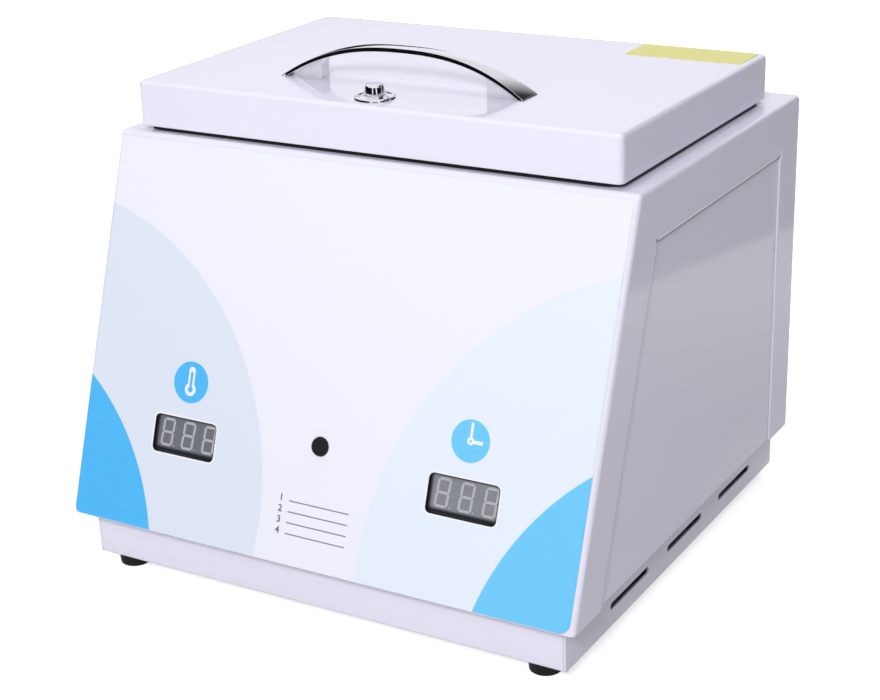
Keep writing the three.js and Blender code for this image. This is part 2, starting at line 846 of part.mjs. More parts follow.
function addPowerBoard() {
  const low = trayFloorTop + powerStandHeight;
  const top = low + boardThickness;
  const board = block(
    powerX - powerHalfWidth,
    powerX + powerHalfWidth,
    powerY - powerHalfDepth,
    powerY + powerHalfDepth,
    low,
    top,
  );
  place(body, 'power_board', greenBoard(), board);
  const transformer = prismZ(
    rectangle(transformerWidth, transformerDepth, transformerX, transformerY),
    top,
    top + transformerHeight,
  );
  place(body, 'transformer', coilTape(), transformer);
  const relay = prismZ(rectangle(relayWidth, relayDepth, relayX, relayY), top, top + relayHeight);
  place(body, 'relay', relayBlue(), relay);
}

// Mains inlet: a flanged socket with three flat pins, held by two screws.
function addInlet() {
  const x = inletX;
  const z = fittingsZ;
  const face = hoodDepth + inletFlange;
  const flange = roundedRectangle(inletFlangeWidth, inletFlangeHeight, bendRadius, x, z);
  let inlet = joined(
    prismY(flange, hoodDepth, face),
    prismY(rectangle(inletBodyWidth, inletBodyHeight, x, z), hoodDepth - inletBodyDepth, face),
  );
  const w = socketWidth * half;
  const h = socketHeight * half;
  const mouth = [
    [x - w, z - h],
    [x + w, z - h],
    [x + w, z + h - socketChamfer],
    [x + w - socketChamfer, z + h],
    [x - w + socketChamfer, z + h],
    [x - w, z + h - socketChamfer],
  ];
  const floor = face - socketDepth;
  inlet = cut(inlet, prismY(mouth, floor, face + overrun));
  const pins = [
    ['live', -pinSpread, livePinRise],
    ['earth', 0, earthPinRise],
    ['neutral', pinSpread, livePinRise],
  ];
  pins.forEach(([name, dx, dz]) => {
    const outline = rectangle(pinWidth, pinHeight, x + dx, z + dz);
    const hole = rectangle(pinWidth + fit, pinHeight + fit, x + dx, z + dz);
    inlet = cut(inlet, prismY(hole, floor - overrun - overrun, face));
    const pin = prismY(outline, hoodDepth - inletBodyDepth - overrun, floor + pinLength);
    place(body, `inlet_pin_${name}`, zinc(), pin);
  });
  [-1, 1].forEach((side, index) => {
    const sx = x + side * inletScrewSpread;
    inlet = cut(inlet, backHole(sx, z));
    place(body, `inlet_screw_${index + 1}`, zinc(), backScrew(sx, z, face));
  });
  place(body, 'mains_inlet', blackPlastic(), inlet);
}

// A pan head screw with a slot, pointing forwards from a face at the back.
function backScrew(x, z, face) {
  const head = rodY(smallHeadRadius, face, face + smallHeadHeight, x, z, roundSteps);
  const shank = rodY(smallScrewRadius, face - smallScrewLength, face + thinSheet, x, z, smallSteps);
  const slot = rectangle(smallHeadRadius + smallHeadRadius - sheet, thinSheet, x, z);
  return cut(joined(head, shank), prismY(slot, face + thinSheet, face + overrun));
}

// Power switch: a frame through the back with a rocker on an axle across it.
function addPowerSwitch() {
  const x = switchX;
  const z = fittingsZ;
  const face = hoodDepth + switchFrame;
  const axleY = rockerAxleY();
  const frame = joined(
    prismY(roundedRectangle(switchFrameWidth, switchFrameHeight, sheet, x, z), hoodDepth, face),
    prismY(rectangle(switchBodyWidth, switchBodyHeight, x, z), hoodDepth - switchBodyDepth, face),
  );
  const well = rectangle(rockerWidth + slackFit + slackFit, rockerLength + rockerSlack + rockerSlack, x, z);
  const hollow = prismY(well, face - rockerWell, face + overrun);
  const reach = switchBodyWidth * half - fit;
  const axle = rodX(rockerAxleRadius, x - reach, x + reach, axleY, z, smallSteps);
  place(body, 'power_switch_frame', blackPlastic(), joined(cut(frame, hollow), axle));
  place(body, 'power_rocker', blackPlastic(), rocker(x, z, face, axleY));
}

function rockerAxleY() {
  return hoodDepth + switchFrame - rockerRise;
}

// The rocker's side outline is a shallow V, drawn level and then tipped to its off position.
function rocker(x, z, face, axleY) {
  const end = rockerLength * half;
  const outline = [
    [-rockerDepth, -end * half],
    [-rockerDepth, end * half],
    [0, end],
    [rockerTip, end],
    [rockerRise + fit, 0],
    [rockerTip, -end],
    [0, -end],
  ];
  const tip = THREE.MathUtils.degToRad(rockerAngle);
  const tipped = outline.map(([out, up]) => [
    axleY + out * Math.cos(tip) - up * Math.sin(tip),
    z + out * Math.sin(tip) + up * Math.cos(tip),
  ]).reverse();
  const side = rockerWidth * half;
  const solid = prismX(tipped, x - side, x + side);
  return cut(solid, rodX(rockerAxleRadius + pinFit, x - side - overrun, x + side + overrun, axleY, z));
}

function addFuseHolder() {
  const holder = joined(
    rodY(fuseBodyRadius, hoodDepth - fuseBodyDepth, hoodDepth + fit, fuseX, fittingsZ),
    rodY(fuseCapRadius, hoodDepth, hoodDepth + fuseCapHeight, fuseX, fittingsZ),
  );
  const slot = rectangle(fuseCapRadius, sheet, fuseX, fittingsZ);
  const top = hoodDepth + fuseCapHeight;
  place(body, 'fuse_holder', blackPlastic(), cut(holder, prismY(slot, top - sheet, top + overrun)));
}

function addHoodScrews() {
  hoodScrewPlaces().forEach((x, index) => {
    place(body, `hood_screw_${index + 1}`, zinc(), backScrew(x, hoodScrewZ, hoodDepth));
  });
}

function addLatchKeeper() {
  const top = hoodTop + keeperFlange;
  const keeper = cut(
    joined(
      rodZ(keeperFlangeRadius, hoodTop, top, fittingsX, latchY),
      rodZ(keeperRadius, keeperBottom, top, fittingsX, latchY),
    ),
    rodZ(keeperBoreRadius, keeperBottom + thinSheet, top + overrun, fittingsX, latchY),
  );
  place(body, 'latch_keeper', nylon(), keeper);
}

// The lid's own box with rounded bends, open below.
function lidBlock(skin) {
  const width = lidWidth - lidEdge - lidEdge;
  const depth = lidDepth - lidEdge - lidEdge;
  const outline = roundedRectangle(width, depth, lidCorner - lidEdge, 0, lidCentreY);
  return prismZ(outline, lidBottom - overrun, lidTop - skin, lidEdge - skin);
}

function addLidShell() {
  const below = block(-lidWidth, lidWidth, lidFront - overrun, lidBack + overrun, 0, lidBottom);
  let shell = cut(lidBlock(0), lidBlock(sheet), below);
  shell = cut(shell, rodZ(latchSleeveRadius + fit, lidUnder - overrun, lidTop + overrun, fittingsX, latchY));
  handleScrewPlaces().forEach((x) => {
    shell = cut(shell, handleScrewHole(x));
  });
  place(lid, 'lid_shell', whitePaint(), shell);
}

// The screw's way through the lid's top and up into a handle leg.
function handleScrewHole(x) {
  const top = lidTop + handleScrewDepth + slackFit;
  return rodZ(handleScrewRadius + fit, lidUnder - overrun, top, x, handleY, smallSteps);
}

function handleScrewPlaces() {
  return [fittingsX - handleScrewX, fittingsX + handleScrewX];
}

function lidInside(grow) {
  const width = lidWidth - sheet - sheet + grow + grow;
  const depth = lidDepth - sheet - sheet + grow + grow;
  return roundedRectangle(width, depth, lidCorner - sheet, 0, lidCentreY);
}

// Liner: a shallow pan that closes the lid from below.
function addLidLiner() {
  const outside = prismZ(lidInside(-fit), linerBottom, linerTop + linerWall);
  const inside = prismZ(lidInside(-fit - linerThickness), linerTop, linerTop + linerWall + overrun);
  const hole = rodZ(keeperBoreRadius, linerBottom - overrun, linerTop + overrun, fittingsX, latchY);
  place(lid, 'lid_liner', steel(), cut(outside, inside, hole));
  const wool = prismZ(lidInside(-fit - linerThickness - fit), linerTop, lidWoolTop);
  const well = rodZ(lidWellRadius, linerTop - overrun, lidTop, fittingsX, latchY);
  place(lid, 'lid_insulation', glassWool(), cut(wool, well));
  const outer = -gasketInset;
  const inner = outer - gasketWidth;
  const gasket = cut(
    prismZ(lidInside(outer), hoodTop + fit, linerBottom),
    prismZ(lidInside(inner), hoodTop, linerBottom + overrun),
  );
  place(lid, 'lid_gasket', silicone(), gasket);
}

// Handle: the side curve of the arch and the plan of the strip are cut with each other.
function archHeight(share) {
  return handleRise * (1 - Math.abs(share) ** handleCurvePower);
}

function archWidth(share) {
  return handleMidWidth + (handleEndWidth - handleMidWidth) * Math.abs(share) ** handleWidthPower;
}

function addHandle() {
  const upper = [];
  const lower = [];
  const front = [];
  const back = [];
  for (let step = 0; step <= handleSteps; step += 1) {
    const share = (2 * step) / handleSteps - 1;
    const x = fittingsX + share * handleHalfLength;
    const height = archHeight(share);
    upper.push([x, lidTop + height]);
    if (height > handleStrip) {
      lower.push([x, lidTop + height - handleStrip]);
    }
    front.push([x, handleY - archWidth(share) * half]);
    back.push([x, handleY + archWidth(share) * half]);
  }
  const footShare = (1 - handleStrip / handleRise) ** (1 / handleCurvePower);
  lower.unshift([fittingsX - footShare * handleHalfLength, lidTop]);
  lower.push([fittingsX + footShare * handleHalfLength, lidTop]);
  const widest = handleEndWidth;
  const side = prismY([...lower, ...upper.reverse()], handleY - widest, handleY + widest);
  const plan = prismZ([...front, ...back.reverse()], lidTop - overrun, lidTop + handleRise + overrun);
  let handle = side.intersect(plan);
  [-1, 1].forEach((end) => {
    const leg = wedge(end);
    handle = joined(handle, prismY(leg, handleY - legDepth * half, handleY + legDepth * half));
  });
  handleScrewPlaces().forEach((x) => {
    handle = cut(handle, handleScrewHole(x));
  });
  place(lid, 'lid_handle', chrome(), handle);
  handleScrewPlaces().forEach((x, index) => {
    const screw = joined(
      rodZ(handleHeadRadius, lidUnder - handleHeadHeight, lidUnder, x, handleY),
      rodZ(handleScrewRadius, lidUnder - handleHeadHeight, lidTop + handleScrewDepth, x, handleY, smallSteps),
    );
    place(lid, `handle_screw_${index + 1}`, zinc(), screw);
  });
}

// One leg: a wedge under the arch's end, with an upright inner face.
function wedge(end) {
  const points = [];
  const startShare = legInner / handleHalfLength;
  const stopShare = legReachShare;
  const steps = smallSteps;
  for (let step = 0; step <= steps; step += 1) {
    const share = startShare + (stopShare - startShare) * (step / steps);
    const height = Math.max(archHeight(share) - handleStrip * half, 0);
    points.push([fittingsX + end * share * handleHalfLength, lidTop + height]);
  }
  const last = points[points.length - 1];
  const outline = [[fittingsX + end * legInner, lidTop], [last[0], lidTop], ...points.reverse()];
  return end > 0 ? outline : outline.reverse();
}

// Latch flange with its sleeve, and the button with shoulder and stem.
function addLatch() {
  const bore = latchButtonRadius + latchButtonGap;
  const flange = turned([
    [bore, lidUnder - latchSleeveDrop],
    [latchSleeveRadius, lidUnder - latchSleeveDrop],
    [latchSleeveRadius, lidTop],
    [latchFlangeRadius, lidTop],
    [latchFlangeRadius, lidTop + latchFlangeEdge],
    [latchButtonRadius + latchFlangeHeight, lidTop + latchFlangeHeight],
    [bore, lidTop + latchFlangeHeight],
    [bore, lidUnder - latchSleeveDrop],
  ], fittingsX, latchY);
  place(lid, 'latch_flange', chrome(), flange);
  const top = lidTop + latchButtonRise;
  const shoulderTop = lidUnder - latchSleeveDrop - slackFit;
  const shoulderBottom = shoulderTop - latchShoulder;
  const button = turned([
    [0, hoodTop - latchStemDrop],
    [latchStemRadius, hoodTop - latchStemDrop],
    [latchStemRadius, shoulderBottom],
    [latchShoulderRadius, shoulderBottom],
    [latchShoulderRadius, shoulderTop],
    [latchButtonRadius, shoulderTop],
    [latchButtonRadius, top - latchButtonEdge],
    [latchButtonRadius - latchButtonEdge, top],
    [0, top],
  ], fittingsX, latchY);
  place(lid, 'latch_button', chrome(), button);
}

function addSticker() {
  const y = lidBack - stickerBackGap - stickerDepth * half;
  const outline = roundedRectangle(stickerWidth, stickerDepth, stickerCorner, stickerX, y);
  place(lid, 'caution_sticker', yellowFilm(), prismZ(outline, lidTop, lidTop + stickerThickness));
}

// Each hinge has two outer knuckles on its base leaf and one middle knuckle on the lid's leaf.
function addHinge(side) {
  const name = side < 0 ? 'left' : 'right';
  const x = side * hingeSpread;
  const reach = hingeLength * half;
  const middle = hingeLength * hingeMiddleShare * half;
  const baseLeaf = block(x - reach, x + reach, hingeY, hingeY + baseLeafReach, hoodTop, hoodTop + hingeLeaf);
  const baseKnuckles = joined(
    rodX(hingeKnuckleRadius, x - reach, x - middle - hingeGap, hingeY, hingeZ),
    rodX(hingeKnuckleRadius, x + middle + hingeGap, x + reach, hingeY, hingeZ),
  );
  const relief = block(
    x - middle - hingeGap,
    x + middle + hingeGap,
    hingeY - overrun,
    hingeY + hingeKnuckleRadius + hingeGap,
    hoodTop - overrun,
    hingeZ + overrun,
  );
  const bore = rodX(hingePinRadius + pinFit, x - reach - overrun, x + reach + overrun, hingeY, hingeZ);
  place(body, `hinge_base_${name}`, steel(), cut(joined(baseLeaf, baseKnuckles), relief, bore));
  const pin = joined(
    rodX(hingePinRadius, x - reach, x + reach, hingeY, hingeZ),
    rodX(hingePinHeadRadius, x - reach - hingePinHead, x - reach, hingeY, hingeZ),
    rodX(hingePinHeadRadius, x + reach, x + reach + hingePinHead, hingeY, hingeZ),
  );
  place(body, `hinge_pin_${name}`, steel(), pin);
  const lidLeaf = joined(
    block(x - middle, x + middle, lidBack, lidBack + hingeLeaf, hingeZ, hingeZ + lidLeafReach),
    block(
      x - reach,
      x + reach,
      lidBack,
      lidBack + hingeLeaf,
      hingeZ + hingeKnuckleRadius + hingeGap,
      hingeZ + lidLeafReach,
    ),
    rodX(hingeKnuckleRadius, x - middle, x + middle, hingeY, hingeZ),
  );
  place(lid, `hinge_lid_${name}`, steel(), cut(lidLeaf, bore));
}

addBaseTray();
addHood();
addSidePanels();
addLabel();
addDisplay('temperature_display', -1);
addDisplay('timer_display', 1);
addControlBoard();
addProgramButton();
addFeet();
addChamber();
addInsulation();
addPowerBoard();
addInlet();
addPowerSwitch();
addFuseHolder();
addHoodScrews();
addLatchKeeper();
addLidShell();
addLidLiner();
addHandle();
addLatch();
addSticker();
addHinge(-1);
addHinge(1);

body.add(panel, lid);

// Moves the whole object so that the origin lies under the middle of its box.
const sterilizer = new THREE.Group();
sterilizer.add(body);
const box = new THREE.Box3().setFromObject(sterilizer);
sterilizer.position.y = -(box.min.y + box.max.y) * half;
sterilizer.updateMatrixWorld(true);

export default sterilizer;
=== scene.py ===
# %% [markdown]
# # Dressing a small dry heat sterilizer
# The packed model already holds every solid of this bench instrument: a bent sheet hood on a
# shallow tray, a lid on two hinges and a steel pot inside. This lesson gives it its looks: soft
# bends, gloss enamel, a printed label, a chromed bow handle and dark displays.
# Every piece is drawn in the model's own place, so nothing has to be fitted afterwards.

import bmesh
import bpy
import json
import math

from mathutils import Matrix, Vector
from mathutils.geometry import delaunay_2d_cdt

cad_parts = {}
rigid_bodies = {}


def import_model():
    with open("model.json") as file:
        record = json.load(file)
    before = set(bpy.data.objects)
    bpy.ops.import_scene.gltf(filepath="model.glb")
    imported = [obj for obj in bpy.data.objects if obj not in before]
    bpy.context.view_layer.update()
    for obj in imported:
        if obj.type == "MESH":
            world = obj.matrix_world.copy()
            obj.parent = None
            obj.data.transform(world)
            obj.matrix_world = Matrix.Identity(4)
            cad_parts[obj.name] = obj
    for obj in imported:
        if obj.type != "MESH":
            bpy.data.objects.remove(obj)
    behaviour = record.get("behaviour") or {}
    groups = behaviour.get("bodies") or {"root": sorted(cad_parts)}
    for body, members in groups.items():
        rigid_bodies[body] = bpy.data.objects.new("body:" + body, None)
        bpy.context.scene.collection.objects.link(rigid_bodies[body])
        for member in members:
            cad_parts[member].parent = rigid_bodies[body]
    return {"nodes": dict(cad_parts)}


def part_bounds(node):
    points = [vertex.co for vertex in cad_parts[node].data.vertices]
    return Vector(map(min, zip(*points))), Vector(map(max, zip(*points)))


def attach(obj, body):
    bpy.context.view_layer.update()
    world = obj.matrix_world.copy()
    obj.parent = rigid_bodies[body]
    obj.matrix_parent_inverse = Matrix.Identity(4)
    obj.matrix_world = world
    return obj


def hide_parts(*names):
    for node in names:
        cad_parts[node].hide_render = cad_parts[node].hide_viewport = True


for leftover in list(bpy.data.objects):
    bpy.data.objects.remove(leftover)
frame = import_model()
bpy.context.view_layer.update()

# %% [markdown]
# ## The camera
# The picture was taken from the front right, a little above the lid, with a long lens. Its place
# could be found by eye, but here it was solved from the corners of the sheet metal, so the script
# only repeats the numbers. The picture was cropped off centre, which a small lens shift repeats.

# %% Set the camera
PICTURE_WIDTH = 880
SENSOR = 36.0
FOCAL_PIXELS = 1883.6
CROP_DROP = 50
CAMERA_PLACE = (0.47354, -0.79875, 0.45826)


def add_object(name, data):
    """Puts a mesh, a lamp or a camera into the scene."""
    thing = bpy.data.objects.new(name, data)
    bpy.context.scene.collection.objects.link(thing)
    return thing


def direction(turn, lift):
    """The way from the instrument to a place, in radians right of its front and radians up."""
    level = math.cos(lift)
    return Vector((math.sin(turn) * level, -math.cos(turn) * level, math.sin(lift)))


azimuth, elevation, roll = (math.radians(a) for a in (30.78, 22.755, -1.93))
backwards = direction(azimuth, elevation)
level = Vector((math.cos(azimuth), math.sin(azimuth), 0))
upright = backwards.cross(level)
camera_right = math.cos(roll) * level + math.sin(roll) * upright
camera_up = math.cos(roll) * upright - math.sin(roll) * level
camera = add_object("camera", bpy.data.cameras.new("camera"))
turn = Matrix((camera_right, camera_up, backwards)).transposed()
camera.matrix_world = Matrix.Translation(CAMERA_PLACE) @ turn.to_4x4()
camera.data.sensor_width = SENSOR
camera.data.lens = SENSOR * FOCAL_PIXELS / PICTURE_WIDTH
camera.data.shift_y = CROP_DROP / PICTURE_WIDTH
bpy.context.scene.camera = camera
print("lens", round(camera.data.lens, 2), "mm")

# %% [markdown]
# ## Floor and lamps
# A product picture like this stands on a white sweep under wide soft lamps. A flat floor does for
# the sweep, because the camera looks down on it and never meets its end. The lamps are wide, so
# that they model the sheet softly, and they are hidden from gloss, which sees cards instead.

# %% Make the floor and the lamps
FLOOR_REACH = 12.0
LAMP_AIM = Vector((0, 0, 0.12))


def mesh_thing(name, points, faces):
    """Makes an object from points in metres and faces."""
    mesh = bpy.data.meshes.new(name)
    mesh.from_pydata([tuple(p) for p in points], [], faces)
    return add_object(name, mesh)


corners = [(x, y, 0) for x, y in ((-1, -1), (1, -1), (1, 1), (-1, 1))]
floor = mesh_thing("floor", [Vector(c) * FLOOR_REACH for c in corners], [(0, 1, 2, 3)])


def soft_lamp(name, turn, lift, away, size, watts):
    """A wide lamp: degrees to the right of the front, degrees up, metres away and wide."""
    lamp = bpy.data.lights.new(name, "AREA")
    lamp.shape, lamp.size, lamp.energy = "SQUARE", size, watts
    thing = add_object(name, lamp)
    reach = direction(math.radians(turn), math.radians(lift)) * away
    thing.location = reach + LAMP_AIM
    thing.rotation_euler = (-reach).to_track_quat("-Z", "Y").to_euler()
    thing.visible_camera = thing.visible_glossy = False


soft_lamp("left_lamp", -25, 35, 2.2, 1.4, 10.5)
soft_lamp("right_lamp", 18, 32, 2.2, 0.4, 24.5)
soft_lamp("top_lamp", 160, 75, 1.9, 1.4, 11)
soft_lamp("back_lamp", 205, 30, 2.4, 1.4, 14)

# %% [markdown]
# ## Cards for reflections
# Polished metal and gloss paint are mostly a picture of the room. A studio puts black cards round
# a chromed part, or it would vanish on white. Here dark curtains stand round the front, with gaps
# that leave bright stripes on the latch, and a low one runs behind. A dim card on the right keeps
# the side grey, a card behind that fades from bright to dark shades the lid, and the floor ends
# in a grey patch. All of them are seen by reflections only.

# %% Hang the cards
CARD_AWAY = 2.6


def only_reflected(card):
    for kind in ("camera", "diffuse", "shadow", "transmission"):
        setattr(card, f"visible_{kind}", False)
    return card


def round_card(name, first, last, low, high):
    """A bent card round the instrument: from and to in degrees right of its front, then heights."""
    count = int((last - first) / 10) + 1
    turns = [math.radians(first + (last - first) * i / (count - 1)) for i in range(count)]
    posts = [direction(a, 0) * CARD_AWAY for a in turns]
    points = [p + Vector((0, 0, z)) for z in (low, high) for p in posts]
    strips = [(i, i + 1, i + 1 + count, i + count) for i in range(count - 1)]
    return only_reflected(mesh_thing(name, points, strips))


curtains = [
    round_card("front_curtain", -90, 4, 0.0, 1.15),
    round_card("middle_curtain", 16, 46, 0.0, 1.15),
    round_card("side_curtain", 60, 90, 0.0, 1.15),
    round_card("low_curtain", 90, 270, 0.0, 0.68),
]
back_card = round_card("back_card", 160, 212, 1.45, 5.2)
right_card = round_card("right_card", 90, 164, 0.68, 4.0)
room_end = only_reflected(mesh_thing(
    "room_end", [(0.37, 0.30, 0.001), (3.5, -0.9, 0.001), (3.5, 3.9, 0.001), (-0.6, 3.9, 0.001)],
    [(0, 1, 2, 3)],
))
print("cards", [c.name for c in (*curtains, back_card, right_card, room_end)])

# %% [markdown]
# ## A small language for finishes
# A finish is a graph of nodes. Written node by node it is long and hard to read, so numbers on
# their way through a graph are wrapped in a small class, and shader maths then reads as maths.
# The same two classes also build the Geometry Nodes trees further down.

# %% Wrap sockets so that maths on them reads as maths
def feed(tree, socket, value):
    """Gives a socket another node's output or a plain value."""
    if isinstance(value, Wire):
        tree.links.new(value.socket, socket)
    else:
        socket.default_value = value


def maths(tree, operation, *terms, clamp=False):
    """One maths node, fed with wires or plain numbers."""
    node = tree.nodes.new("ShaderNodeMath")
    node.operation, node.use_clamp = operation, clamp
    for socket, term in zip(node.inputs, terms):
        feed(tree, socket, term)
    return Wire(tree, node.outputs[0])


def sign(operation, number_first=False):
    """A method for one sign of arithmetic, also for a plain number in front of it."""
    def apply(wire, other):
        terms = (other, wire) if number_first else (wire, other)
        return maths(wire.tree, operation, *terms)
    return apply


class Wire:
    """One output socket, with the usual signs for adding, scaling and so on."""

    def __init__(self, tree, socket):
        self.tree, self.socket = tree, socket

    __add__ = __radd__ = sign("ADD")
    __mul__ = __rmul__ = sign("MULTIPLY")
    __sub__, __rsub__ = sign("SUBTRACT"), sign("SUBTRACT", number_first=True)
    __truediv__, __rtruediv__ = sign("DIVIDE"), sign("DIVIDE", number_first=True)
    __pow__, __rpow__ = sign("POWER"), sign("POWER", number_first=True)
    at_least, at_most = sign("MAXIMUM"), sign("MINIMUM")

    def __abs__(self):
        return maths(self.tree, "ABSOLUTE", self)

    def share(self):
        """Held between 0 and 1."""
        return maths(self.tree, "ADD", self, 0.0, clamp=True)


print("maths signs ready")

# %% Build node trees with wires
class Recipe:
    """A node tree under construction."""

    def __init__(self, tree):
        self.tree = tree

    def node(self, kind, settings=None, inputs=None, output=0):
        made = self.tree.nodes.new(kind)
        for name, value in (settings or {}).items():
            setattr(made, name, value)
        for key, value in (inputs or {}).items():
            feed(self.tree, made.inputs[key], value)
        return Wire(self.tree, made.outputs[output])

    def parts(self, place):
        """The X, Y and Z of a place, each on a wire of its own."""
        split = self.node("ShaderNodeSeparateXYZ", inputs={0: place}).socket.node
        return [Wire(self.tree, output) for output in split.outputs]


def between(low, high, share):
    """A number that runs from low to high as share runs from 0 to 1."""
    return share * (high - low) + low


def ramp(value, start, slope):
    """A share that leaves 0 where the value passes start."""
    return ((value - start) * slope).share()


print("tree tools ready")

# %% [markdown]
# ### What a finish is made of
# Every finish here starts from the place on the object, in metres, so a pattern keeps its real
# size and never slides. Grain is layered noise, cells are rounded pits, bands are stripes, and tone
# mixes two colours. Numbers that don't vary are set on the shader itself.

# %% Give a finish its tools
class Finish(Recipe):
    """A material: a shader with a few helpers for patterns, tone and relief."""

    def __init__(self, name, **constants):
        self.material = bpy.data.materials.new(name)
        self.material.use_nodes = True
        super().__init__(self.material.node_tree)
        self.shader = self.tree.nodes["Principled BSDF"]
        self.place = self.node("ShaderNodeTexCoord", output="Object")
        for socket, value in constants.items():
            self.shader.inputs[socket.replace("_", " ")].default_value = value

    def grain(self, scale, detail=2.0, rough=0.5, stretch=None):
        place = self.place
        if stretch:
            place = self.node("ShaderNodeMapping", inputs={"Vector": place, "Scale": stretch})
        inputs = {"Vector": place, "Scale": scale, "Detail": detail, "Roughness": rough}
        return self.node("ShaderNodeTexNoise", inputs=inputs)

    def cells(self, scale):
        return self.node("ShaderNodeTexVoronoi", inputs={"Vector": self.place, "Scale": scale})

    def bands(self, way, scale, **more):
        settings = {"wave_type": "BANDS", "bands_direction": way}
        inputs = {"Vector": self.place, "Scale": scale, **more}
        return self.node("ShaderNodeTexWave", settings, inputs, output="Fac")

    def tone(self, share, first, second):
        inputs = {0: share}
        for key, colour in ((6, first), (7, second)):
            inputs[key] = (*colour, 1) if isinstance(colour, tuple) else colour
        settings = {"data_type": "RGBA", "clamp_factor": True}
        return self.node("ShaderNodeMix", settings, inputs, output=2)

    def drive(self, socket, value):
        feed(self.tree, self.shader.inputs[socket], value)

    def wear(self, colour, rough, height, strength, depth):
        """Drives the colour, the roughness and a bump, and gives back the material."""
        self.drive("Base Color", colour)
        if rough is not None:
            self.drive("Roughness", rough)
        bump = {"Height": height, "Strength": strength, "Distance": depth}
        self.drive("Normal", self.node("ShaderNodeBump", inputs=bump))
        return self.material


FINISHES = {}
print("finish tools ready")

# %% [markdown]
# ### White enamel
# The sheets are sprayed and baked: gloss enamel with a lavender cast, a faint orange peel about a
# millimetre wide, and slow waves that bend reflections. A plain white would look like plastic, so
# the grain is in the bump and the roughness, and the colour drifts by about one part in fifty.

# %% Mix the white enamel
def sprayed(name):
    """Starts an enamel: the finish, its peel and drift, its colour and its roughness."""
    paint = Finish(name, IOR=1.6)
    peel, drift = paint.grain(850, 2), paint.grain(9, 3)
    colour = paint.tone(drift, (0.795, 0.775, 0.90), (0.83, 0.81, 0.935))
    return paint, peel, drift, colour, between(0.03, 0.10, peel * 0.7 + drift * 0.3)


enamel, peel, drift, colour, rough = sprayed("white_enamel")
relief = peel + drift * 6.0 + enamel.cells(420) * 0.2
FINISHES["white_paint"] = enamel.wear(colour, rough, relief, 0.04, 0.0002)
print("enamel nodes", len(enamel.tree.nodes))

# %% [markdown]
# ### Enamel with painted shade in the joints
# The side panels lie behind the hood's strips, and shade falls in that step. So a thin dark line of
# painted shade runs along it. The line is worked out from the distance to the opening's three
# edges, and it is widest at the front.

# %% Mix the enamel of the side panels
LEAN = math.atan2(68.1, 187.6)
hood_low, hood_high = (corner * 1000 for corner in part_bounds("hood_shell"))
HOOD_FRONT, HOOD_BACK = hood_low.y, hood_high.y
HOOD_BOTTOM, HOOD_TOP = hood_low.z, hood_high.z
STRIP = 26.7
TOP_LINE, BACK_LINE, FRONT_LINE = 1.75, 0.25, 2.7

jointed, peel, drift, paint, rough = sprayed("enamel_with_joints")
_, deep, high = (part * 1000 for part in jointed.parts(jointed.place))
slant = (high - HOOD_BOTTOM) * math.sin(LEAN)
from_top = (HOOD_TOP - STRIP - high) / TOP_LINE
from_back = (HOOD_BACK - STRIP - deep) / BACK_LINE
from_front = ((deep - HOOD_FRONT) * math.cos(LEAN) - slant - STRIP) / FRONT_LINE
nearest = from_top.at_most(from_back).at_most(from_front)
# painted shade: the enamel darkens towards the strips' edges, where the strips shade the panel
painted_joint_shade = ((1.0 - nearest) * 4.0 + (peel - 0.5) * 0.4).share() * 0.66
colour = jointed.tone(painted_joint_shade, paint, (0.20, 0.19, 0.23))
FINISHES["joint_shade_paint"] = jointed.wear(
    colour, rough + painted_joint_shade * 0.5, peel + drift * 6.0, 0.04, 0.0002
)
print("strip width", STRIP, "mm")

# %% [markdown]
# ### The front label's print
# The label is a printed film on the slanted front: white, with two pale and two blue discs that
# run off its corners, a blue disc with a thermometer and one with a clock, and thin white borders
# round the windows. An image could hold this, but shapes computed from the place on the panel stay
# sharp at any distance. Each shape is a distance in millimetres, which the ink fills where it is
# below zero.

# %% Measure distances on the panel
WINDOW_UP, WINDOW_SPREAD, PANEL_MIDDLE = 50.6, 80.2, -0.8
WINDOW_SIZE, WINDOW_CORNER, RIM = (36.9, 18.4), 2.3, 0.4
WINDOW_MIDDLES = [(PANEL_MIDDLE + side * WINDOW_SPREAD, WINDOW_UP) for side in (-1, 1)]


def panel_axes(finish):
    """Millimetres across the panel and up its slope, for any finish."""
    x, y, z = (part * 1000 for part in finish.parts(finish.place))
    return x, (z - HOOD_BOTTOM) * math.cos(LEAN) + (y - HOOD_FRONT) * math.sin(LEAN)


label = Finish("printed_film", IOR=1.5)
film_axes = panel_axes(label)


def disc(centre, radius, hold=(0, 0)):
    """Distance to a disc, or to a bar with round ends when hold stretches it along one axis."""
    away = [axis - middle for axis, middle in zip(film_axes, centre)]
    dx, dy = (d - d.at_least(-held).at_most(held) for d, held in zip(away, hold))
    return (dx * dx + dy * dy) ** 0.5 - radius


def round_box(axes, centre, size, corner):
    """Distance to a box with round corners, along any finish's own axes."""
    dx, dy = (
        (abs(axis - middle) - (length / 2 - corner)).at_least(0.0)
        for axis, middle, length in zip(axes, centre, size)
    )
    return (dx * dx + dy * dy) ** 0.5 - corner


def print_over(under, layers):
    """Prints shapes over each other. Each is a distance in millimetres, an ink and an edge blur."""
    for distance, ink, blur in layers:
        under = label.tone((distance * (-1 / blur) + 0.5).share(), under, ink)
    return under


print("panel leans back", round(math.degrees(LEAN), 2), "degrees")

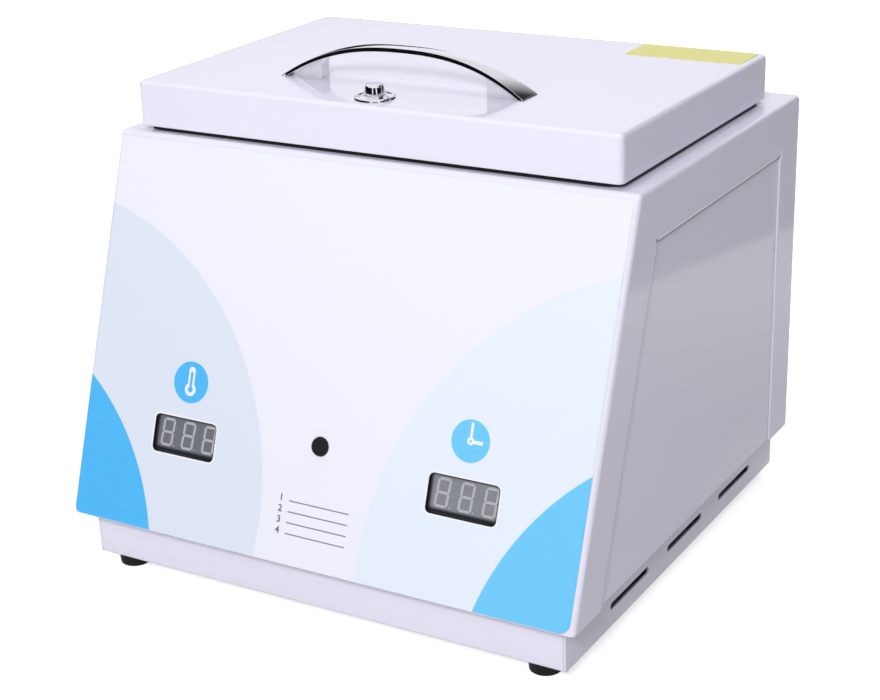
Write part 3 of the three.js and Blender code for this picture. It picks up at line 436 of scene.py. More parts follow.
# %% Print the arcs and the two marks
WHITE_INK, MARK_INK = (0.84, 0.845, 0.93), (0.86, 0.88, 0.95)
BLUE_INK, BLUE_RIGHT = (0.055, 0.470, 0.92), (0.135, 0.570, 0.93)
CRISP, SOFT = 0.22, 0.6
HEAT_MARK, TIME_MARK = (-81.1, 78.7), (79.4, 78.0)
printed = print_over(WHITE_INK, [
    (disc((-176.9, 18.7), 147), (0.715, 0.77, 0.88), SOFT),
    (disc((194.6, 4.6), 167), (0.77, 0.835, 0.93), SOFT),
    (disc((-218.4, -29.3), 126.7), BLUE_INK, CRISP),
    (disc((231.5, -41), 145), BLUE_RIGHT, CRISP),
    (disc(HEAT_MARK, 10.5), BLUE_INK, CRISP),
    (disc(TIME_MARK, 10.1), BLUE_RIGHT, CRISP),
])
x, up = HEAT_MARK
glass = disc((x, up - 3.6), 3.3).at_most(disc((x, up + 1.2), 1.9, (0, 4.8)))
filling = disc((x, up - 3.6), 1.5).at_most(disc((x, up + 0.5), 0.75, (0, 4.2)))
x, up = TIME_MARK
hands = disc((x, up + 4.2), 0.7, (0, 4.0)).at_most(disc((x + 3.2, up - 0.2), 0.85, (2.6, 0)))
hands = hands.at_most(disc(TIME_MARK, 1.9))
printed = print_over(printed, [
    (glass, MARK_INK, CRISP), (filling, BLUE_INK, CRISP),
    (hands, MARK_INK, CRISP), (disc(TIME_MARK, 0.6), BLUE_RIGHT, CRISP),
])
print("label nodes so far", len(label.tree.nodes))

# %% Print the window borders and the list, then mix the film
BORDER_INK, LIST_INK = (0.90, 0.90, 0.95), (0.17, 0.17, 0.20)
LIST_ROWS = (31.5, 26.1, 20.7, 15.3)
border_grow = RIM + 0.85
border_size = [length + 2 * border_grow for length in WINDOW_SIZE]
printed = print_over(printed, [
    (round_box(film_axes, middle, border_size, WINDOW_CORNER + border_grow), BORDER_INK, 0.3)
    for middle in WINDOW_MIDDLES
])
rules = [disc((3.0, up), 0.3, (17.0, 0)) for up in LIST_ROWS]
printed = print_over(printed, [(rule, LIST_INK, CRISP) for rule in rules])
speckle, waves = label.grain(2300, 1), label.grain(40, 3)
FINISHES["label_film"] = label.wear(
    label.tone(speckle * 0.16 - 0.05, printed, (0.95, 0.97, 1.0)),
    between(0.26, 0.4, speckle * 0.6 + waves * 0.4), speckle * 0.5 + waves * 2.0, 0.08, 0.0001,
)
print("label nodes", len(label.tree.nodes))

# %% [markdown]
# ### Bright metals
# The handle, the flange and the latch button are polished and chromed: almost a mirror, with fine
# polishing lines and a few clouds of duller plating. The handle's legs are a paler satin. Steel of
# the pot and hinges is brushed, so its noise is stretched along one axis, zinc on the screws is
# cloudy and a little yellow, and turned brass has rings.

# %% Mix the metals
chrome = Finish("polished_chrome", Metallic=1.0)
haze, lines = chrome.grain(60, 4), chrome.grain(900, 2, 0.6, (0.06, 1, 1))
FINISHES["chrome"] = chrome.wear(
    chrome.tone(haze, (0.80, 0.805, 0.825), (0.92, 0.92, 0.93)),
    between(0.035, 0.13, haze * 0.5 + lines * 0.5), lines + haze, 0.05, 0.00006,
)
satin = Finish("satin_chrome", Metallic=0.72)
cloud, scratches = satin.grain(80, 3), satin.grain(700, 2, 0.6, (1, 1, 0.08))
FINISHES["satin_chrome"] = satin.wear(
    satin.tone(cloud, (0.90, 0.90, 0.92), (0.965, 0.965, 0.97)),
    between(0.05, 0.16, cloud * 0.6 + scratches * 0.4), scratches, 0.03, 0.00004,
)
steel = Finish("brushed_steel", Metallic=1.0)
strokes, patches = steel.grain(1400, 3, 0.6, (0.03, 0.5, 1)), steel.grain(24, 4)
FINISHES["steel"] = steel.wear(
    steel.tone(patches * 0.6 + strokes * 0.4, (0.46, 0.46, 0.48), (0.66, 0.66, 0.67)),
    between(0.22, 0.46, strokes * 0.6 + patches * 0.4), strokes, 0.12, 0.0001,
)
zinc = Finish("plated_zinc", Metallic=1.0)
flakes, stain = zinc.cells(260), zinc.grain(70, 4, 0.65)
FINISHES["zinc"] = zinc.wear(
    zinc.tone(flakes * 0.5 + stain * 0.5, (0.44, 0.44, 0.46), (0.70, 0.69, 0.66)),
    between(0.24, 0.52, stain), flakes + stain, 0.1, 0.00012,
)
brass = Finish("turned_brass", Metallic=1.0)
rings, tarnish = brass.grain(1500, 2, 0.5, (0.1, 0.1, 1)), brass.grain(90, 4)
FINISHES["brass"] = brass.wear(
    brass.tone(tarnish, (0.48, 0.32, 0.11), (0.72, 0.54, 0.24)),
    between(0.18, 0.42, rings * 0.5 + tarnish * 0.5), rings, 0.1, 0.00008,
)
print("metals", [metal.material.name for metal in (chrome, satin, steel, zinc, brass)])

# %% [markdown]
# ### Plastics and rubbers
# Moulded black parts have a fine spark texture from their mould, rubber feet are duller with
# dusty pores, and the silicone gasket has a satin skin. One rule serves them all: fine pits over
# slow patches, at a size, a depth and a shine of their own. Printing inks are mixed the same way.

# %% Mix the plastics and rubbers
def moulded(slot, name, dark, light, rough, scale, depth, shine=0.5):
    """A moulded or cast skin. Depth is in millimetres."""
    skin = Finish(name, Specular_IOR_Level=shine)
    pits, slow = skin.cells(scale), skin.grain(scale / 18, 3)
    fine = skin.grain(scale * 1.7, 2)
    FINISHES[slot] = skin.wear(
        skin.tone(slow * 0.6 + fine * 0.4, dark, light),
        between(*rough, fine * 0.5 + slow * 0.5), pits * 0.6 + fine * 0.5, 0.25, depth * 0.001,
    )


for values in (
    ("black_plastic", "spark_black", (0.006, 0.006, 0.007), (0.016, 0.016, 0.018),
     (0.3, 0.5), 1500, 0.08, 0.3),
    ("rubber", "foot_rubber", (0.004, 0.004, 0.005), (0.010, 0.010, 0.011),
     (0.45, 0.75), 1100, 0.12, 0.25),
    ("silicone", "gasket_silicone", (0.004, 0.004, 0.005), (0.010, 0.010, 0.012),
     (0.4, 0.62), 900, 0.06, 0.25),
    ("display_plastic", "display_case", (0.005, 0.005, 0.007), (0.012, 0.012, 0.015),
     (0.25, 0.45), 1800, 0.04, 0.3),
    ("segment", "milky_segment", (0.37, 0.38, 0.41), (0.52, 0.53, 0.56), (0.35, 0.6), 1500, 0.03),
    ("nylon", "nylon", (0.70, 0.68, 0.62), (0.82, 0.80, 0.74), (0.35, 0.6), 900, 0.06),
    ("relay_blue", "relay_case", (0.02, 0.09, 0.3), (0.04, 0.14, 0.42), (0.3, 0.5), 800, 0.06),
    ("mark_grey", "list_ink", (0.15, 0.15, 0.18), (0.19, 0.19, 0.22), (0.35, 0.5), 1200, 0.03),
    ("mark_white", "mark_ink", (0.74, 0.74, 0.74), (0.86, 0.86, 0.86), (0.4, 0.6), 1200, 0.03),
):
    moulded(*values)
print("plastics ready")

# %% [markdown]
# ### The display's smoked face
# The face is smoked grey plastic. On the right display it is painted a little lighter, as painted
# light. Painted shade stands for the case shading the margin: the grey fades to near black a
# millimetre or so from each window's edge. The distance to two round boxes, one a window, says
# where.

# %% Mix the smoked face
FACE_LIFT, FACE_SHIFT = 1.2, 0.2
FACE_SIZE, FACE_CORNER = (WINDOW_SIZE[0] - 1.4, WINDOW_SIZE[1] - 1.8), 1.6
smoked = Finish("smoked_face")
face_axes = panel_axes(smoked)
fields = [
    round_box(face_axes, (x + FACE_SHIFT, up + FACE_LIFT), FACE_SIZE, FACE_CORNER)
    for x, up in WINDOW_MIDDLES
]
# painted shade of the case along each window's edge
painted_margin_shade = ramp(fields[0].at_most(fields[1]), -0.8, 1 / 1.4)
dots, right_side = smoked.grain(1300, 2), (face_axes[0] * 0.05).share()
left_grey = smoked.tone(dots, (0.120, 0.132, 0.150), (0.185, 0.197, 0.215))
# the right display's face is painted lighter, as painted light
painted_lit_grey = smoked.tone(dots, (0.190, 0.201, 0.222), (0.268, 0.280, 0.302))
smoke = smoked.tone(right_side, left_grey, painted_lit_grey)
FINISHES["display_face"] = smoked.wear(
    smoked.tone(painted_margin_shade, smoke, (0.012, 0.013, 0.018)), between(0.25, 0.5, dots), dots, 0.2, 0.00003
)
print("smoked face nodes", len(smoked.tree.nodes))

# %% [markdown]
# ### What shows when the lid is open or the hood is off
# Glass wool is a felt of fine fibres, so stretched noise runs two ways. The boards carry copper
# traces under green lacquer, which a grid of bricks with wide gaps stands for. The heater band is
# silicone over woven glass, the transformer wears amber tape, and the sticker is yellow film.

# %% Mix the finishes of the inside and of the sticker
wool = Finish("glass_wool", Roughness=0.95)
threads = wool.grain(500, 5, 0.7, (0.12, 1, 1)) * 0.5 + wool.grain(500, 5, 0.7, (1, 0.12, 1)) * 0.5
FINISHES["glass_wool"] = wool.wear(
    wool.tone(threads, (0.42, 0.36, 0.14), (0.86, 0.80, 0.52)), None, threads, 0.9, 0.0012
)
board = Finish("green_board")
bricks = {"Vector": board.place, "Scale": 160, "Mortar Size": 0.16, "Mortar Smooth": 0.1}
tracks = board.node("ShaderNodeTexBrick", {"offset": 0.35}, bricks, output="Fac")
lacquer = board.grain(120, 3)
FINISHES["green_board"] = board.wear(
    board.tone(tracks, (0.010, 0.085, 0.034), (0.022, 0.17, 0.06)),
    between(0.25, 0.42, lacquer), tracks + lacquer * 0.3, 0.2, 0.0001,
)
weave = Finish("heater_mat")
warp, weft = (weave.bands(way, 180, Distortion=0.6, Detail=1) for way in "ZX")
FINISHES["heater_mat"] = weave.wear(
    weave.tone(warp * weft, (0.30, 0.07, 0.02), (0.56, 0.18, 0.07)),
    between(0.5, 0.75, warp), warp + weft, 0.4, 0.0003,
)
tape = Finish("coil_tape")
layers = tape.bands("Z", 40, Distortion=0.3)
FINISHES["coil_tape"] = tape.wear(
    tape.tone(layers, (0.46, 0.27, 0.03), (0.68, 0.43, 0.07)),
    between(0.3, 0.5, tape.grain(200, 3)), layers, 0.3, 0.0002,
)
sticker = Finish("yellow_film")
ink_grain, fade = sticker.grain(1700, 1), sticker.grain(30, 3)
FINISHES["yellow_film"] = sticker.wear(
    sticker.tone(fade * 0.7 + ink_grain * 0.3, (0.71, 0.68, 0.165), (0.79, 0.76, 0.24)),
    between(0.28, 0.42, ink_grain), ink_grain * 0.4 + fade * 2.0, 0.08, 0.0001,
)
print("finishes", sorted(FINISHES))

# %% [markdown]
# ### The sweep
# The floor is pale and matt. For the camera it is lifted, so that it reads as white, which is a
# colour choice and not more light on the instrument. Gloss sees it lifted less, and not at all
# close beside the right wall, so the foot of that wall keeps its grey.

# %% Finish the floor
CAMERA_LIFT, GLOSS_LIFT = (0.68, 0.86), 0.3
sweep = Finish("sweep", Roughness=0.9)
paper = sweep.grain(300, 3)
floor_paper = sweep.wear(
    sweep.tone(paper, (0.60, 0.60, 0.60), (0.64, 0.64, 0.64)), None, paper, 0.05, 0.0002
)
rays = sweep.node("ShaderNodeLightPath").socket.node
seen, mirrored = (Wire(sweep.tree, rays.outputs[f"Is {kind} Ray"]) for kind in ("Camera", "Glossy"))
length = {"operation": "LENGTH"}
radius = sweep.node("ShaderNodeVectorMath", length, {0: sweep.place}, output="Value")
far, away = ramp(radius, 0.8, 0.7), ramp(radius, 0.28, 5.0)
beside = ramp(sweep.parts(sweep.place)[0], 0.14, 20.0)
strength = seen * between(*CAMERA_LIFT, far) + mirrored * (1.0 - beside * (1.0 - away)) * GLOSS_LIFT
lift = sweep.node("ShaderNodeEmission", inputs={"Color": (1, 1, 1, 1), "Strength": strength})
paper_shader = Wire(sweep.tree, sweep.shader.outputs[0])
both = sweep.node("ShaderNodeAddShader", inputs={0: paper_shader, 1: lift})
feed(sweep.tree, sweep.tree.nodes["Material Output"].inputs["Surface"], both)
floor.data.materials.append(floor_paper)
print("floor nodes", len(sweep.tree.nodes))

# %% [markdown]
# ### Cards and sky
# The cards are cloth: black for the curtains, dim for the right card and grey for the floor's end.
# The back card glows, from bright on the left to dark on the right. The world is white only for
# what the camera, the gloss and the glass see, so the paint itself is lit at a plain level.

# %% Finish the cards and the world
def cloth(name, dark, light, **constants):
    """Matt cloth with slow folds."""
    finish = Finish(name, Roughness=0.95, **constants)
    folds = finish.grain(3, 3)
    return finish.wear(finish.tone(folds, dark, light), None, folds, 0.2, 0.01)


black = cloth("dark_cloth", (0.003, 0.003, 0.004), (0.010, 0.010, 0.011), Specular_IOR_Level=0.1)
for card in curtains:
    card.data.materials.append(black)
room_end.data.materials.append(cloth("grey_cloth", (0.42, 0.42, 0.43), (0.50, 0.50, 0.51)))
right_card.data.materials.append(cloth("dim_cloth", (0.16, 0.16, 0.17), (0.24, 0.24, 0.25)))
glow = Finish("fading_cloth", Base_Color=(0, 0, 0, 1), Roughness=0.95, Emission_Strength=1.0)
fade = ramp(glow.parts(glow.place)[0], -0.32, 2.1)
glow.drive("Emission Color", glow.tone(fade, (0.80, 0.80, 0.84), (0.02, 0.02, 0.022)))
back_card.data.materials.append(glow.material)

AMBIENT, SKY_TINT = 0.25, (0.93, 0.93, 1.0, 1)
world = bpy.data.worlds.new("studio")
bpy.context.scene.world = world
world.use_nodes = True
sky = Recipe(world.node_tree)
rays = sky.node("ShaderNodeLightPath").socket.node
kinds = ("Camera", "Glossy", "Transmission")
seen, mirrored, through = (Wire(sky.tree, rays.outputs[f"Is {kind} Ray"]) for kind in kinds)
tint = {0: seen, 6: SKY_TINT, 7: (1, 1, 1, 1)}
background = world.node_tree.nodes["Background"]
tinted = sky.node("ShaderNodeMix", {"data_type": "RGBA"}, tint, output=2)
shown = seen.at_least(mirrored).at_least(through)
feed(sky.tree, background.inputs["Color"], tinted)
feed(sky.tree, background.inputs["Strength"], between(AMBIENT, 1.0, shown))
bpy.context.scene.view_settings.view_transform = "Standard"
print("world ready")

# %% [markdown]
# ## Sheet metal as one folded surface
# The hood, the lid and the tray are folded from thin sheet. Each could be a box with bevels, but
# a real sheet has one skin that runs over its bends, and openings cut before folding. So flat
# plates (outlines with holes) and bends (rows of points) are gathered into one skin, joined, and
# only then given the sheet's thickness and tiny rounded edges. A plate is filled with triangles
# that keep to its outline, and the ones that fall into a hole are left out.

# %% Measure flat loops and fill them
SAME_SPOT = 1e-5


def flat_normal(loop):
    """The direction that a flat loop faces, from its whole area."""
    total = Vector()
    for a, b in zip(loop, loop[1:] + loop[:1]):
        total += a.cross(b)
    return total.normalized()


def border(loop, facing, width):
    """The same loop moved inwards in its plane, with mitred corners."""
    moved = []
    for before, point, after in zip(loop[-1:] + loop[:-1], loop, loop[1:] + loop[:1]):
        first = facing.cross(point - before).normalized()
        second = facing.cross(after - point).normalized()
        moved.append(point + (first + second) * (width / (1 + first.dot(second))))
    return moved


def covered(spot, loops):
    """Whether a flat spot lies on the plate: inside the outline and in none of its holes."""
    crossings = 0
    for loop in loops:
        for a, b in zip(loop, loop[1:] + loop[:1]):
            if (a.y > spot.y) != (b.y > spot.y):
                crossings += spot.x < a.x + (b.x - a.x) * (spot.y - a.y) / (b.y - a.y)
    return crossings % 2 == 1


def filled(loops, facing):
    """Points and triangles between an outline and its holes."""
    start = loops[0][0].copy()
    side = (loops[0][1] - start).normalized()
    rise = facing.cross(side)
    flat = [
        [Vector(((p - start).dot(side), (p - start).dot(rise))) for p in loop] for loop in loops
    ]
    edges = []
    for loop in flat:
        first = len(edges)
        edges += [(first + i, first + (i + 1) % len(loop)) for i in range(len(loop))]
    spots = [p for loop in flat for p in loop]
    points, _, triangles, *_ = delaunay_2d_cdt(spots, edges, [], 0, SAME_SPOT)
    middles = [sum((points[i] for i in t), Vector((0, 0))) / 3 for t in triangles]
    kept = [t for t, middle in zip(triangles, middles) if covered(middle, flat)]
    return [start + side * p.x + rise * p.y for p in points], kept


print("loop tools ready")

# %% Gather plates and bends into a skin
MM = 0.001
BORDER, TOUCHING = 0.6, 0.002


def object_from(name, shape):
    """Makes an object of a shape that is being built, and ends the building."""
    data = bpy.data.meshes.new(name)
    shape.to_mesh(data)
    shape.free()
    return add_object(name, data)


class Skin:
    """Flat plates and bends of one folded surface, in millimetres."""

    def __init__(self):
        self.mesh = bmesh.new()

    def plate(self, outline, *holes):
        """A flat face with holes. A narrow border along every edge keeps the rounding even."""
        loops = [[Vector(p) for p in loop] for loop in (outline, *holes)]
        facing = flat_normal(loops[0])
        inner = []
        for number, loop in enumerate(loops):
            turns_left = flat_normal(loop).dot(facing) > 0
            inset = border(loop, facing, BORDER if turns_left == (number == 0) else -BORDER)
            self.bend([loop, inset], closed=True)
            inner.append(inset)
        points, triangles = filled(inner, facing)
        corners = [self.mesh.verts.new(p) for p in points]
        for triangle in triangles:
            self.mesh.faces.new([corners[i] for i in triangle])

    def bend(self, rows, closed=False):
        """Faces between rows of points. A closed row runs on from its last point to its first."""
        grid = [[self.mesh.verts.new(p) for p in row] for row in rows]
        for low, high in zip(grid, grid[1:]):
            for i in range(len(low) if closed else len(low) - 1):
                j = (i + 1) % len(low)
                self.mesh.faces.new((low[i], low[j], high[j], high[i]))

    def piece(self, name, outward=None):
        """Joins what touches and makes the object. outward is a point that faces look towards."""
        bmesh.ops.remove_doubles(self.mesh, verts=self.mesh.verts, dist=TOUCHING)
        bmesh.ops.recalc_face_normals(self.mesh, faces=self.mesh.faces)
        if outward is not None:
            largest = max(self.mesh.faces, key=lambda f: f.calc_area())
            sight = Vector(outward) - largest.calc_center_median()
            if sight.dot(largest.normal) < 0:
                bmesh.ops.reverse_faces(self.mesh, faces=self.mesh.faces)
        bmesh.ops.scale(self.mesh, vec=(MM, MM, MM), verts=self.mesh.verts)
        return object_from(name, self.mesh)


print("skin ready")

# %% Give a piece its thickness, its soft edges and its place in the model
SHEET = 1.2


def settle(thing):
    """Turns an object with modifiers into a plain mesh."""
    bpy.context.view_layer.update()
    view = bpy.context.evaluated_depsgraph_get()
    data = bpy.data.meshes.new_from_object(
        thing.evaluated_get(view), preserve_all_data_layers=True, depsgraph=view
    )
    thing.modifiers.clear()
    thing.data = data
    return thing


def soften(thing, thickness=0.0, edge=0.0, angle=40, segments=2, held=False):
    """Gives a skin its thickness, rounds its edges and evens out its shading."""
    if thickness:
        wall = thing.modifiers.new("wall", "SOLIDIFY")
        wall.thickness, wall.offset, wall.use_even_offset = thickness * MM, -1, True
    if edge:
        rim = thing.modifiers.new("rim", "BEVEL")
        rim.width, rim.segments, rim.angle_limit = edge * MM, segments, math.radians(angle)
        rim.use_clamp_overlap = held
    for face in thing.data.polygons:
        face.use_smooth = True
    even = thing.modifiers.new("even", "WEIGHTED_NORMAL")
    even.keep_sharp, even.weight = True, 100
    return settle(thing)


def dress(thing, body, slot, *nodes, finish=None):
    """Gives a piece its finish, its body and the nodes that it stands for."""
    if finish is not False:
        thing.data.materials.clear()
        thing.data.materials.append(FINISHES[finish or slot])
    if nodes:
        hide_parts(*nodes)
    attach(thing, body)
    print(thing.name, "faces", len(thing.data.polygons))


print("sheet", SHEET, "mm")

# %% Draw outlines and put them in their planes
BEND_STEPS = 8
ROUND_STEPS = 40


def round_rectangle(width, height, radius, middle=(0, 0), steps=6):
    """Corner arcs of a rectangle with round corners, counter-clockwise."""
    w, h = width / 2 - radius, height / 2 - radius
    points = []
    for corner, (cx, cy) in enumerate(((w, h), (-w, h), (-w, -h), (w, -h))):
        for step in range(steps + 1):
            angle = (corner + step / steps) * math.pi / 2
            x, y = cx + radius * math.cos(angle), cy + radius * math.sin(angle)
            points.append((middle[0] + x, middle[1] + y))
    return points


def shrunk(size, corner, middle, inset, z, steps=6):
    """A rectangle with round corners, moved in by inset and level at a height."""
    width, height = (length - 2 * inset for length in size[:2])
    return at_z(z, round_rectangle(width, height, corner - inset, middle, steps))


def arc(centre, radius, first, last, steps=BEND_STEPS):
    return [
        Vector((centre[0] + radius * math.cos(a), centre[1] + radius * math.sin(a)))
        for a in (first + (last - first) * i / steps for i in range(steps + 1))
    ]


def ring(radius, middle=(0, 0), steps=ROUND_STEPS):
    return [
        (middle[0] + radius * math.cos(a), middle[1] + radius * math.sin(a))
        for a in (2 * math.pi * i / steps for i in range(steps))
    ]


def quarter(steps=BEND_STEPS):
    """Sines and cosines over a quarter turn."""
    turns = (step / steps * math.pi / 2 for step in range(steps + 1))
    return [(math.sin(a), math.cos(a)) for a in turns]


def at_x(x, flat):
    return [(x, y, z) for y, z in flat]


def at_y(y, flat):
    return [(x, y, z) for x, z in flat]


def at_z(z, flat):
    return [(x, y, z) for x, y in flat]


def on_panel(x, s, out=0.0):
    """A point on the slanted front: across, up the slope, and out of it."""
    return Vector((
        x,
        HOOD_FRONT + s * math.sin(LEAN) - out * math.cos(LEAN),
        HOOD_BOTTOM + s * math.cos(LEAN) + out * math.sin(LEAN),
    ))


def window(middle, grow, out=0.0):
    """A window's outline on the front, grown beyond the clear opening."""
    width, height = (length + 2 * grow for length in WINDOW_SIZE)
    flat = round_rectangle(width, height, WINDOW_CORNER + grow, middle)
    return [on_panel(*p, out) for p in flat]


print("outline tools ready")

# %% [markdown]
# ## Hood
# One sheet is folded up the slanted front, over the top and down the back, and a strip turns in
# along each side round an opening. Its side outline is walked once; every bend is that outline
# moved in a little, so the round edges stay true where two bends meet at a corner.

# %% Walk the hood's side outline
HOOD_HALF = 145.0
TOP_BEND, SIDE_BEND, RELIEF = 3.2, 2.4, 1.3


def front_line(inset, height):
    """Where the slanted front, moved inwards, passes a height: its Y."""
    return HOOD_FRONT + (inset + math.sin(LEAN) * (height - HOOD_BOTTOM)) / math.cos(LEAN)


def hood_path(inset):
    """The side outline in Y and Z, from the front's foot over the top to the back's foot."""
    level = HOOD_TOP - TOP_BEND
    front_centre = (front_line(TOP_BEND, level), level)
    back_centre = (HOOD_BACK - TOP_BEND, level)
    radius = TOP_BEND - inset
    return [
        Vector((front_line(inset, HOOD_BOTTOM), HOOD_BOTTOM)),
        *arc(front_centre, radius, math.pi - LEAN, math.pi / 2),
        *arc(back_centre, radius, math.pi / 2, 0),
        Vector((HOOD_BACK - inset, HOOD_BOTTOM)),
    ]


def side_to_side(half, point):
    """The two ends of a straight line across a sheet."""
    return [(-half, point.x, point.y), (half, point.x, point.y)]


def rectangle(half, low, high):
    """The loop between two such lines."""
    return [*side_to_side(half, low), *reversed(side_to_side(half, high))]


path = hood_path(0)
print("outline points", len(path), "front bend starts", [round(c, 1) for c in path[1]])

# %% Fold the front and the top
PRESS_HOLE, LATCH_HOLE, WINDOW_PLAY = 0.25, 3.7, 0.2
BUTTON_UP, BUTTON_RADIUS = 60.7, 4.6
POT_SIZE, POT_MIDDLE, POT_CORNER = (208.0, 120.0), (0.0, 21.56), 14.0
LATCH = (-2.5, -50.84)
flat_half = HOOD_HALF - SIDE_BEND
button_ring = ring(BUTTON_RADIUS + PRESS_HOLE, (PANEL_MIDDLE, BUTTON_UP))
hood = Skin()
hood.plate(
    rectangle(flat_half, *path[:2]),
    *[window(middle, RIM + WINDOW_PLAY) for middle in WINDOW_MIDDLES],
    [on_panel(*p) for p in button_ring],
)
hood.plate(
    rectangle(flat_half, *path[1 + BEND_STEPS:3 + BEND_STEPS]),
    shrunk(POT_SIZE, POT_CORNER, POT_MIDDLE, -0.1, HOOD_TOP),
    at_z(HOOD_TOP, ring(LATCH_HOLE, LATCH)),
)
print("front and top folded")

# %% Fold the back and the bends between
FITTINGS_Z, INLET_X, SWITCH_X, FUSE_X = 76.0, -72.0, -22.0, 14.0
INLET_HOLE, SWITCH_HOLE, FUSE_HOLE, HOLE_CORNER = (27.2, 20.2), (13.2, 19.2), 5.6, 0.5
SCREW_X, SCREW_Z, SCREW_HOLE, SMALL_STEPS = 112.0, 36.0, 1.6, 16
INLET_SCREWS = (INLET_X - 20, INLET_X + 20)
screw_holes = [ring(SCREW_HOLE, (x, SCREW_Z), SMALL_STEPS) for x in (-SCREW_X, SCREW_X)]
back_holes = [
    round_rectangle(*INLET_HOLE, HOLE_CORNER, (INLET_X, FITTINGS_Z)),
    round_rectangle(*SWITCH_HOLE, HOLE_CORNER, (SWITCH_X, FITTINGS_Z)),
    ring(FUSE_HOLE, (FUSE_X, FITTINGS_Z)),
    *(ring(SCREW_HOLE, (x, FITTINGS_Z), SMALL_STEPS) for x in INLET_SCREWS),
    *screw_holes,
]
hood.plate(rectangle(flat_half, *path[-2:]), *[at_y(HOOD_BACK, hole) for hole in back_holes])
for first in (1, 2 + BEND_STEPS):
    hood.bend([side_to_side(flat_half, p) for p in path[first:first + BEND_STEPS + 1]])
print("holes in the back", len(back_holes))

# %% [markdown]
# ### Strips along the sides
# The strips lie flat against the sides. Their free edges were dressed after cutting, so they dip
# in by a quarter of a millimetre and catch a soft line of light. The opening's two upper corners
# have small relief rounds, so the sheet doesn't tear when it is folded.

# %% Turn the side strips in
HEM, HEM_DROP, HEM_STEPS = 1.6, 0.25, 4
RELIEF_STEPS = 14
opening_top = HOOD_TOP - STRIP
front_corner = (front_line(STRIP, opening_top), opening_top)
back_corner = (HOOD_BACK - STRIP, opening_top)
hem_shares = [step / HEM_STEPS for step in range(HEM_STEPS + 1)]


def opening_edge(grow):
    """The opening's outline, or one outside it: back foot, two relief corners, front foot."""
    turn = math.asin(grow / (RELIEF + grow))
    radius, straight = RELIEF + grow, math.pi / 2 - turn
    return [
        Vector((HOOD_BACK - STRIP + grow, HOOD_BOTTOM)),
        *arc(back_corner, radius, -straight, math.pi - turn, RELIEF_STEPS),
        *arc(front_corner, radius, turn, math.pi - LEAN + straight, RELIEF_STEPS),
        Vector((front_line(STRIP - grow, HOOD_BOTTOM), HOOD_BOTTOM)),
    ]


for side in (-1, 1):
    hood.bend([
        at_x(side * (flat_half + SIDE_BEND * sine), hood_path(SIDE_BEND * (1 - cosine)))
        for sine, cosine in quarter()
    ])
    hood.plate(at_x(side * HOOD_HALF, [*hood_path(SIDE_BEND), *opening_edge(HEM)]))
    hood.bend([
        at_x(side * (HOOD_HALF - HEM_DROP * t * t), opening_edge(HEM * (1 - t)))
        for t in hem_shares
    ])
hood_sheet = soften(hood.piece("hood_sheet", (0, -900, 600)), SHEET, 0.28)
dress(hood_sheet, "cabinet", "white_paint", "hood_shell")

# %% [markdown]
# ## Side panels
# A flat plate closes each side from behind the strips, so it sits a sheet's thickness deeper and
# throws a hair-thin shadow under the strip. Its own folds are out of sight, so a flat outline
# with a sheet's thickness does it.

# %% Cut the side panels
PANEL_LAP, PANEL_FOOT, PANEL_OUT = 8.0, 32.0, 143.7
panel_top, lap = opening_top + PANEL_LAP, STRIP - PANEL_LAP
panel_outline = [
    (front_line(lap, PANEL_FOOT), PANEL_FOOT), (HOOD_BACK - lap, PANEL_FOOT),
    (HOOD_BACK - lap, panel_top), (front_line(lap, panel_top), panel_top),
]
for side, name in ((-1, "left"), (1, "right")):
    panel = Skin()
    panel.plate(at_x(side * PANEL_OUT, panel_outline))
    sheet_panel = soften(panel.piece(f"{name}_panel", (side * 900, 0, 100)), SHEET, 0.35)
    # the panel's enamel carries a painted shade line along the strips' edges
    dress(sheet_panel, "cabinet", "white_paint", f"side_panel_{name}", finish="joint_shade_paint")

# %% [markdown]
# ## Lid shell
# The lid is a shallow box of the same sheet, open below, with round edges all along its top. Its
# outline is shrunk step by step over the quarter circle of the bend, and the last outline is
# closed by the flat top, which has a hole for the latch. Its lower edge dips in like the strips.

# %% Fold the lid
def part_box(node):
    """A model part's lowest and highest corner, its middle and its size, in millimetres."""
    low, high = (corner * 1000 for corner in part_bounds(node))
    middle = [(a + b) / 2 for a, b in zip(low, high)]
    return low, high, middle, [b - a for a, b in zip(low, high)]


LID_BEND, LID_CORNER, COLLAR_HOLE = 2.6, 3.4, 7.1
lid_low, lid_high, lid_middle, lid_size = part_box("lid_shell")
LID_BOTTOM, LID_TOP = lid_low.z, lid_high.z
steps_up = [(HEM_DROP * (1 - t) ** 2, LID_BOTTOM + HEM * t) for t in hem_shares]
steps_up += [
    (LID_BEND * (1 - cosine), LID_TOP - LID_BEND * (1 - sine)) for sine, cosine in quarter()
]
rows = [shrunk(lid_size, LID_CORNER, lid_middle, inset, z) for inset, z in steps_up]
lid = Skin()
lid.bend(rows, closed=True)
lid.plate(rows[-1], at_z(LID_TOP, ring(COLLAR_HOLE, LATCH)))
lid_sheet = soften(lid.piece("lid_sheet", (0, 0, 900)), SHEET, 0.35, segments=3)
dress(lid_sheet, "lid", "white_paint", "lid_shell")

# %% [markdown]
# ## Base tray
# The tray is folded from a long sheet that makes the front, floor and back, closed by two side
# walls with three vent slots each. The side walls' front edges show as a fine upright line near
# the corner, so the long sheet stops short of them. The slots are drawn a little taller than the
# model's, because the picture's slots read that way in the dark.

